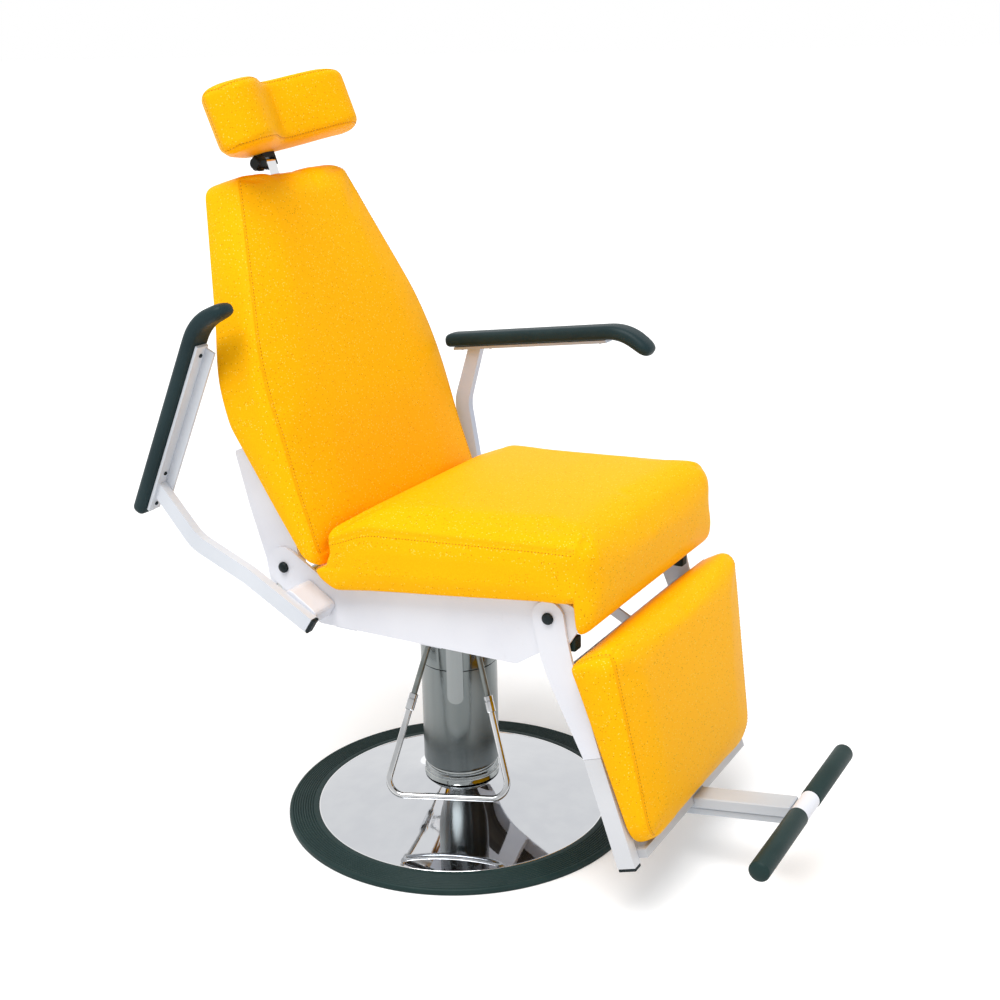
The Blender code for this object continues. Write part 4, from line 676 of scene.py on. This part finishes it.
def seatShape(x, y, z):
    s = seatPad
    half, depth, height = s["half"]
    across, along = 1 - (x / half) ** 2, 1 - (y / depth) ** 2
    share = (z + height) / (2 * height)
    at = s["middle"] + y
    top = s["topUp"] - s["topFall"] * (y + depth) / (2 * depth) + s["crown"] * across * along
    top -= s["dip"] * ease(y, 0.56 * depth, depth)
    plateLine = blendTo(*s["plateUp"], max(0.0, min(1.0, (at - chair["legPivot"]) / s["plateLong"])))
    outside = ease(abs(x), 0.2090, 0.2125) * ease(at, -0.3478, -0.3450)  # its sides sit on the plates
    up = blendTo(blendTo(s["under"], plateLine, outside), top, share)
    drawn = 1 - 0.008 * along * (1 - abs(2 * share - 1))
    tuck = 1 - 0.57 * ease(up, 0.0185, 0.0245) - 0.43 * ease(up, 0.0245, 0.058)
    back = (up - 0.045) * math.tan(lean)
    back += s["tuckOut"] * ease(up, -0.025, 0.012) * tuck  # fills in under the back rest
    front = s["frontOut"] * ease(-y, 0.5 * depth, depth) * ease(up, -0.02, 0.04)
    return Vector((x * drawn, at + back * ease(y, 0, depth) - front, up))


seatPad.update(shape=seatShape, edge=seatEdge)
backPad = {
    "name": "back_pad", "node": "back_cushion", "body": "back", "frame": backFrame, "fill": 0.9,
    "half": (0.261, 0.054, 0.3105), "rims": ((0.034, 0.034), (0.030, 0.012), (0.024, 0.020)), "cell": 0.012,
    "seams": backSeams, "groove": 0.0012, "puff": 0.006, "rests": (1, 1), "press": 4.0, "extra": ((), (), ()),
    "middleUp": 0.3125, "front": 0.108, "crown": 0.006, "lumbar": 0.006, "rear": 0.016, "undercut": 0.25,
    "topCorner": 0.020, "heel": 0.012, "slant": 0.0365, "toe": 0.035, "knobRoom": 0.005,
}


def backEdge(x, y, z):
    front = ease(-y, -0.5 * backPad["half"][1], 0.5 * backPad["half"][1])
    return blendTo(0.010, 0.034, front), blendTo(0.010, 0.030, front), blendTo(0.012, 0.024, front)


def backHalf(up):
    if up < 0.40:
        return 0.261 - 0.031 * max(0.0, (up - 0.24) / 0.16) ** 2
    return blendTo(0.230, 0.146, (up - 0.40) / 0.223)


def backRear(up):
    return backPad["rear"] + 0.0095 * ease(up, 0.300, 0.410) + backPad["undercut"] * max(0.0, 0.245 - up)


def backShape(x, y, z):
    b = backPad
    half, depth, height = b["half"]
    up = b["middleUp"] + z
    across, along = x / half, z / height
    corner = max(0.0, up - 0.603) / b["topCorner"]
    wide = backHalf(up) - b["topCorner"] * (1 - math.sqrt(max(0.0, 1 - corner ** 2)))
    front = b["front"] + b["crown"] * (1 - across ** 2) * (1 - along ** 2) - 0.004 * (across ** 8 + along ** 16)
    front += b["lumbar"] * ease(up, 0.10, 0.24) * (1 - ease(up, 0.36, 0.60))
    share = (depth - y) / (2 * depth)
    drawn = 1 - 0.008 * (1 - along ** 2) * (1 - abs(2 * share - 1))
    heel = b["heel"] - b["slant"] * share + b["toe"] * (max(0.0, share - 0.55) / 0.45) ** 2
    heel *= 1 - ease(up, 0.002, 0.102)  # the lower end slants over the plates
    room = b["knobRoom"] * ease(up, 0.56, 0.623) * (1 - ease(abs(x), 0.06, 0.14))  # for the knob, head rest down
    return Vector((across * wide * drawn, -blendTo(backRear(up), front, share), up + heel - room))


backPad.update(shape=backShape, edge=backEdge)
legPad = {
    "name": "leg_pad", "node": "leg_cushion", "body": "leg", "frame": legFrame, "fill": 0.9,
    "half": (0.261, 0.042, 0.165), "rims": ((0.036, 0.036), (0.034, 0.012), (0.030, 0.036)), "cell": 0.012,
    "seams": legSeams, "groove": 0.0011, "puff": 0.005, "rests": (1, 1), "press": 4.0, "extra": ((), (), ()),
    "topDown": 0.054, "wide": (0.261, 0.221), "rear": (0.027, 0.016), "thick": (0.080, 0.031), "crown": 0.005,
    "lowCorner": 0.045, "swingRoom": 0.014,
}


def legEdge(x, y, z):
    front = ease(-y, -0.6 * legPad["half"][1], 0.5 * legPad["half"][1])
    return blendTo(0.012, 0.036, front), blendTo(0.010, 0.034, front), blendTo(0.012, 0.036, front)


def legShape(x, y, z):
    p = legPad
    half, depth, height = p["half"]
    down = p["topDown"] + height - z
    share = (down - p["topDown"]) / (2 * height)
    corner = max(0.0, down - 0.339) / p["lowCorner"]
    wide = blendTo(*p["wide"], share) - p["lowCorner"] * (1 - math.sqrt(max(0.0, 1 - corner ** 2)))
    across, along = 1 - (x / half) ** 2, 1 - (z / height) ** 2
    deep = (depth - y) / (2 * depth)
    drawn = 1 - 0.012 * along * (1 - abs(2 * deep - 1))
    down += p["swingRoom"] * ease(z, 0.6 * height, height) * (1 - ease(deep, 0, 0.85))  # to pass under the seat
    rear = blendTo(*p["rear"], share)
    front = rear + blendTo(*p["thick"], share) + p["crown"] * across * along
    return Vector((x / half * wide * drawn, -blendTo(rear, front, deep), -down))


legPad.update(shape=legShape, edge=legEdge)
headPad = {
    "name": "head_pad", "node": "head_cushion", "body": "head", "frame": headPadFrame, "fill": 0.85,
    "half": (0.190, 0.046, 0.0535), "rims": ((0.030, 0.030), (0.020, 0.016), (0.016, 0.016)), "cell": 0.009,
    "seams": headSeams, "groove": 0.0011, "puff": 0.004, "rests": (1, 1), "press": 3.0, "extra": ((), (), ()),
    "middleUp": 0.071, "front": 0.052, "wingOut": 0.056, "wingAt": 0.135, "wingTip": 0.033, "rear": -0.043,
    "rearWing": 0.088, "droop": 0.006,
}


def headEdge(x, y, z):
    wing = ease(abs(x), 0.5 * headPad["half"][0], 0.95 * headPad["half"][0])
    return 0.026, blendTo(0.016, 0.040, wing), blendTo(0.016, 0.018, wing)


def headShape(x, y, z):
    h = headPad
    half, depth = h["half"][:2]
    reach = min(1.0, abs(x) / h["wingAt"])
    past = max(0.0, abs(x) - h["wingAt"]) / (half - h["wingAt"])
    front = h["front"] + h["wingOut"] * ease(reach, -0.1, 1.0) - h["wingTip"] * past ** 2
    rear = h["rear"] + h["rearWing"] * (abs(x) / half) ** 1.4
    share = (depth - y) / (2 * depth)
    return Vector((x, -blendTo(rear, front, share), h["middleUp"] + z - h["droop"] * (x / half) ** 2))


headPad.update(shape=headShape, edge=headEdge)
pads = [seatPad, backPad, legPad, headPad]


def startPad(pad):
    bm, made, last = padGrid(pad)
    pad["keys"] = {key: vert.index for key, vert in made.items()}
    pad["last"] = last
    piece = newPiece(pad["name"], bm, leather, None, 0)
    pad["piece"] = piece
    held = piece.vertex_groups.new(name="held")
    axis, end = pad["rests"]
    flat = [index for key, index in pad["keys"].items() if key[axis] == (last[axis] if end else 0)]
    sewn = [pad["keys"][key] for run in pad["seams"](last, 0) for key in run]
    rear = [index for key, index in pad["keys"].items() if pad is seatPad and key[1] == last[1]]
    held.add(sorted(set(flat + sewn + rear)), 1.0, "REPLACE")
    pad["sewn"] = set(sewn)


coverCloth = {
    "quality": 6, "mass": 0.3, "tension_stiffness": 25.0, "compression_stiffness": 25.0, "shear_stiffness": 12.0,
    "bending_stiffness": 2.0, "use_pressure": True, "vertex_group_mass": "held",
}


def swellPads():  # stretched cover over foam, held along its seams
    starts = {}
    for pad in pads:
        cloth = pad["piece"].modifiers.new("cover", "CLOTH")
        for key, value in coverCloth.items():
            setattr(cloth.settings, key, value)
        cloth.settings.uniform_pressure_force = pad["press"]
        cloth.settings.effector_weights.gravity = 0.0
        cloth.collision_settings.use_collision = False
        starts[pad["name"]] = [v.co.copy() for v in pad["piece"].data.vertices]
    for number in range(1, 21):
        scene.frame_set(number)
    graph = bpy.context.evaluated_depsgraph_get()
    for pad in pads:
        piece = pad["piece"]
        swollen = [v.co.copy() for v in piece.evaluated_get(graph).data.vertices]
        piece.modifiers.clear()
        most = 0.0
        for vert, before, after in zip(piece.data.vertices, starts[pad["name"]], swollen):
            move = after - before
            if move.length > pad["puff"]:
                move *= pad["puff"] / move.length
            vert.co = before + move
            most = max(most, move.length)
        print("swelled", pad["name"], round(most * 1000, 1), "mm")
    scene.frame_set(1)


def smoothOnce(piece):
    soft = piece.modifiers.new("soft", "SUBSURF")
    soft.levels = soft.render_levels = 1
    applyAll(piece)


def sewPad(pad):  # seam grooves, then one subdivision, then the stitches
    piece = pad["piece"]
    mesh = piece.data
    normals = [v.normal.copy() for v in mesh.vertices]
    beside = [e.vertices for e in mesh.edges if sum(v in pad["sewn"] for v in e.vertices) == 1]
    near = {v for pair in beside for v in pair}
    # this seam mark drives painted shade along the grooves in the leather colour
    mark = mesh.attributes.new("seam", "FLOAT", "POINT")
    for vert in mesh.vertices:
        if vert.index in pad["sewn"]:
            vert.co -= normals[vert.index] * pad["groove"]
            mark.data[vert.index].value = 1.0
        elif vert.index in near:
            vert.co += normals[vert.index] * 0.0003
            mark.data[vert.index].value = 0.2
    smoothOnce(piece)
    tree = BVHTree.FromObject(piece, bpy.context.evaluated_depsgraph_get())
    bm = bmesh.new()
    for run in pad["seams"](pad["last"], 1):
        stitchRun(bm, [piece.data.vertices[pad["keys"][key]].co.copy() for key in run], tree)
    sewn = newPiece(pad["name"] + "_stitches", bm, thread, None, 0)
    settle(sewn, pad["body"], "yellow_leatherette")


stitch = {"length": 0.0030, "pitch": 0.0056, "wide": 0.00055, "high": 0.00045}


def stitchRun(bm, points, tree):
    ring = [(math.cos(a), math.sin(a)) for a in fan(0, 60, 6)]
    travel, due = 0.0, 0.004
    for one, two in zip(points, points[1:]):
        reach = (two - one).length
        while reach > 1e-7 and due <= travel + reach:
            at = one.lerp(two, (due - travel) / reach)
            spot, normal = tree.find_nearest(at)[:2]
            along = (two - one).normalized()
            along = (along - normal * along.dot(normal)).normalized()
            across = normal.cross(along)
            rows = []
            for share, size in ((-0.5, 0.25), (-0.36, 0.85), (0.0, 1.0), (0.36, 0.85), (0.5, 0.25)):
                middle = spot + along * stitch["length"] * share + normal * stitch["high"] * 0.35
                rows.append([
                    bm.verts.new(middle + (across * a * stitch["wide"] + normal * b * stitch["high"]) * size)
                    for a, b in ring
                ])
            joinRings(bm, rows)
            due += stitch["pitch"]
        travel += reach


for pad in pads:
    startPad(pad)
swellPads()
for pad in pads:
    sewPad(pad)
bm = bmesh.new()
block(bm, (-0.013, -0.063, 0.40), (0.013, -0.049, 0.68), backFrame)
carve(backPad["piece"], newPiece("post_cutter", bm, leather))
for pad in pads:
    settle(pad["piece"], pad["body"], "yellow_leatherette", pad["node"])
print("pads sewn")

armLook = {
    "across": 0.285, "rear": (0.0625, 0.331), "bend": (-0.295, 0.381), "tip": (-0.347, 0.347), "radius": 0.080,
    "wide": 0.046, "thick": 0.024, "railThick": 0.0060, "screws": (-0.310, -0.086, -0.026),
    "flangeAcross": (0.0080, 0.0128), "flangeAlong": (-0.322, -0.040), "flangeHigh": 0.0175,
}


def makeArmPad(side, sign):
    a = armLook
    rear, bend, tip = Vector(a["rear"]), Vector(a["bend"]), Vector(a["tip"])
    rise = math.atan2(bend.y - rear.y, rear.x - bend.x)
    fall = math.atan2(tip.y - bend.y, bend.x - tip.x)
    swing = rise - fall
    reach = a["radius"] * math.tan(swing / 2)
    straight = (bend - rear).length - reach
    total = straight + a["radius"] * swing + (tip - bend).length - reach

    def ahead(angle):
        return Vector((-math.cos(angle), math.sin(angle)))

    def above(angle):
        return Vector((math.sin(angle), math.cos(angle)))

    centre = rear + straight * ahead(rise) - a["radius"] * above(rise)

    def shape(x, y, z):
        run = total / 2 - y
        angle = rise - max(0.0, min(swing, (run - straight) / a["radius"]))
        if run < straight:
            spine = rear + run * ahead(rise)
        else:
            past = max(0.0, run - straight - a["radius"] * swing)
            spine = centre + a["radius"] * above(angle) + past * ahead(fall)
        crown = 0.0012 * (1 - (2 * x / a["wide"]) ** 2) * (z > 0)
        return Vector((sign * a["across"] + x, *(spine + (z + crown) * above(angle))))

    def edge(x, y, z):
        end = ease(-y, 0.80 * total / 2, 0.97 * total / 2)
        upright = blendTo(0.0090, 0.0110, ease(z, -0.004, 0.004))
        return blendTo(0.0105, 0.018, end), blendTo(0.0105, 0.020, end), upright

    pad = {
        "half": (a["wide"] / 2, total / 2, a["thick"] / 2), "rims": ((0.0105, 0.0105), (0.020, 0.0105), (0.009, 0.011)),
        "cell": 0.009, "extra": ((), (), ()), "frame": armFrames[side], "shape": shape, "edge": edge,
    }
    piece = newPiece("arm_rest_pad_" + side, padGrid(pad)[0], skin, None, 0)
    smoothOnce(piece)
    settle(piece, "arm_" + side, "black_plastic", "arm_pad_" + side)
    place = armFrames[side] @ shift(sign * a["across"], *rear) @ turn(-math.degrees(rise))
    low = -a["thick"] / 2 - a["railThick"]
    if side == "right":  # the flange that shows on the arm that is swung back
        (x0, x1), (y0, y1) = a["flangeAcross"], a["flangeAlong"]
        ends = (x0, y0, low - a["flangeHigh"]), (x1, y1, low + 0.0002)
        settle(softBlock("arm_rail_flange", *ends, 0.0010, armPaintedShade, place), "arm_right", "white_paint")
    head = [(0.0, 0.0012), (0.0011, 0.0012), (0.0013, 0.0024), (0.0026, 0.0022), (0.0033, 0.0013), (0.0035, 0.0),
            (0.0, 0.0)]
    for n, at in enumerate(a["screws"]):
        spot = place @ shift(0, at, low) @ turn(180)
        screw = turned(f"arm_screw_{n}_{side}", head, plastic, spot, 24, False)
        settle(screw, "arm_" + side, "black_plastic")


for side, sign in sides:
    makeArmPad(side, sign)
print("arm pads done")

kept = {  # carried-over nodes: finish and edge rounding
    "steel": (steel, 0.0004, ["base_plate", "lift_ram", "arm_pin_left", "arm_pin_right", "back_cross_tube",
                              "link_bar"]),
    "mirror": (mirror, 0.0004, ["head_post", "gas_rod"]),
    "tongue": (tonguePaintedReflection, 0.0004, ["sleeve_tongue"]),
    "dark": (zinc, 0.0, ["pump_cylinder"]),
    "paint": (paint, 0.0011, ["seat_subframe", "seat_side_plate_left", "seat_side_plate_right", "back_arm_left",
                              "back_arm_right", "back_mount_plate", "leg_bracket_left", "leg_bracket_right",
                              "leg_top_tube", "arm_hub_left", "arm_hub_right"]),
    "leg": (legBarPaintedShade, 0.0011, ["leg_bar_left", "leg_bar_right"]),
    "arm": (armPaintedShade, 0.0022, ["arm_tube_right"]),
    "far": (farArmPaintedShade, 0.0022, ["arm_tube_left"]),
    "bar": (barPaintedShade, 0.0011, ["foot_guide", "foot_bar"]),
    # the leg rest's bottom rail takes the grey painted-shade copy of the white paint
    "railShade": (railPaintedShade, 0.0011, ["leg_bottom_rail"]),
    "rubber": (rubber, 0.0, ["leg_stop_left", "leg_stop_right"]),
    "plastic": (plastic, 0.0006, ["gas_cylinder", "head_bracket", "arm_plug_left", "arm_plug_right",
                                  "leg_bar_plug_left", "leg_bar_plug_right"]),
    "boardPaintedShade": (boardPaintedShade, 0.0006, ["seat_board"]),
}
for finish, edge, names in kept.values():
    for name in names:
        node = nodes[name]
        for holder in node.material_slots:
            holder.link = "OBJECT"
            holder.material = finish
        if edge:
            soften = node.modifiers.new("edge", "BEVEL")
            soften.width, soften.segments, soften.limit_method = edge, 2, "ANGLE"
            soften.angle_limit = math.radians(35)
            soften.harden_normals = True
print("kept nodes finished")

view = {"turn": -60.4161, "down": 17.3749, "roll": 1.1322, "lens": 52.606, "at": (-2.0082, -1.2285, 1.3013)}


def makeCamera():
    az, down, roll = [math.radians(view[k]) for k in ("turn", "down", "roll")]
    back = Vector((math.sin(az) * math.cos(down), -math.cos(az) * math.cos(down), math.sin(down)))
    right = (-back).cross(Vector((0, 0, 1))).normalized()
    under = (-back).cross(right)
    across = right * math.cos(roll) + under * math.sin(roll)
    low = -right * math.sin(roll) + under * math.cos(roll)
    lens = bpy.data.cameras.new("studioCamera")
    lens.lens, lens.sensor_width, lens.sensor_fit = view["lens"], 36.0, "HORIZONTAL"
    lens.clip_end = 500.0
    camera = bpy.data.objects.new("studioCamera", lens)
    spin = Matrix((across, -low, back)).transposed().to_4x4()
    camera.matrix_world = Matrix.Translation(view["at"]) @ spin
    scene.collection.objects.link(camera)
    scene.camera = camera


studio = {"ambient": 0.62, "key": 2.6, "keySpread": 36.0, "keyFrom": (-0.44, -0.04, 1.0), "floorLift": 0.25}


def whiteRays(wire):  # rays that see the white room
    seen = [wire.make("LightPath", None, ray) for ray in ("Is Camera Ray", "Is Glossy Ray", "Is Transmission Ray")]
    return seen[0].peak(seen[1]).peak(seen[2])


def makeStudio():
    world = bpy.data.worlds.new("studioWorld")
    scene.world = world
    world.use_nodes = True
    tree = world.node_tree
    low = (studio["ambient"],) * 3
    ground = next(n for n in tree.nodes if n.type == "BACKGROUND")
    tree.links.new(whiteRays(Wire(tree)).shade(low, (1.0, 1.0, 1.0)).socket, ground.inputs["Color"])
    bm = bmesh.new()
    bmesh.ops.create_grid(bm, x_segments=1, y_segments=1, size=160.0)
    finish, spot, feed = newFinish("studioFloor", Roughness=0.9, Specular__IOR__Level=0.0, Emission__Strength=1.0)
    feed(Base__Color=spot.noise(3.0).step(0.2, 0.8).shade((0.80, 0.80, 0.80), (0.82, 0.82, 0.82)))
    feed(Emission__Color=whiteRays(spot).shade((0.0, 0.0, 0.0), (studio["floorLift"],) * 3))
    floor = newPiece("studio_floor", bm, finish, shift(0, 0, -0.0006), 0)
    sun = bpy.data.lights.new("keyLight", "SUN")
    sun.energy, sun.angle = studio["key"], math.radians(studio["keySpread"])
    lamp = bpy.data.objects.new("keyLight", sun)
    lamp.rotation_euler = Vector(studio["keyFrom"]).to_track_quat("Z", "Y").to_euler()
    scene.collection.objects.link(lamp)


makeCamera()
makeStudio()
print("studio done")
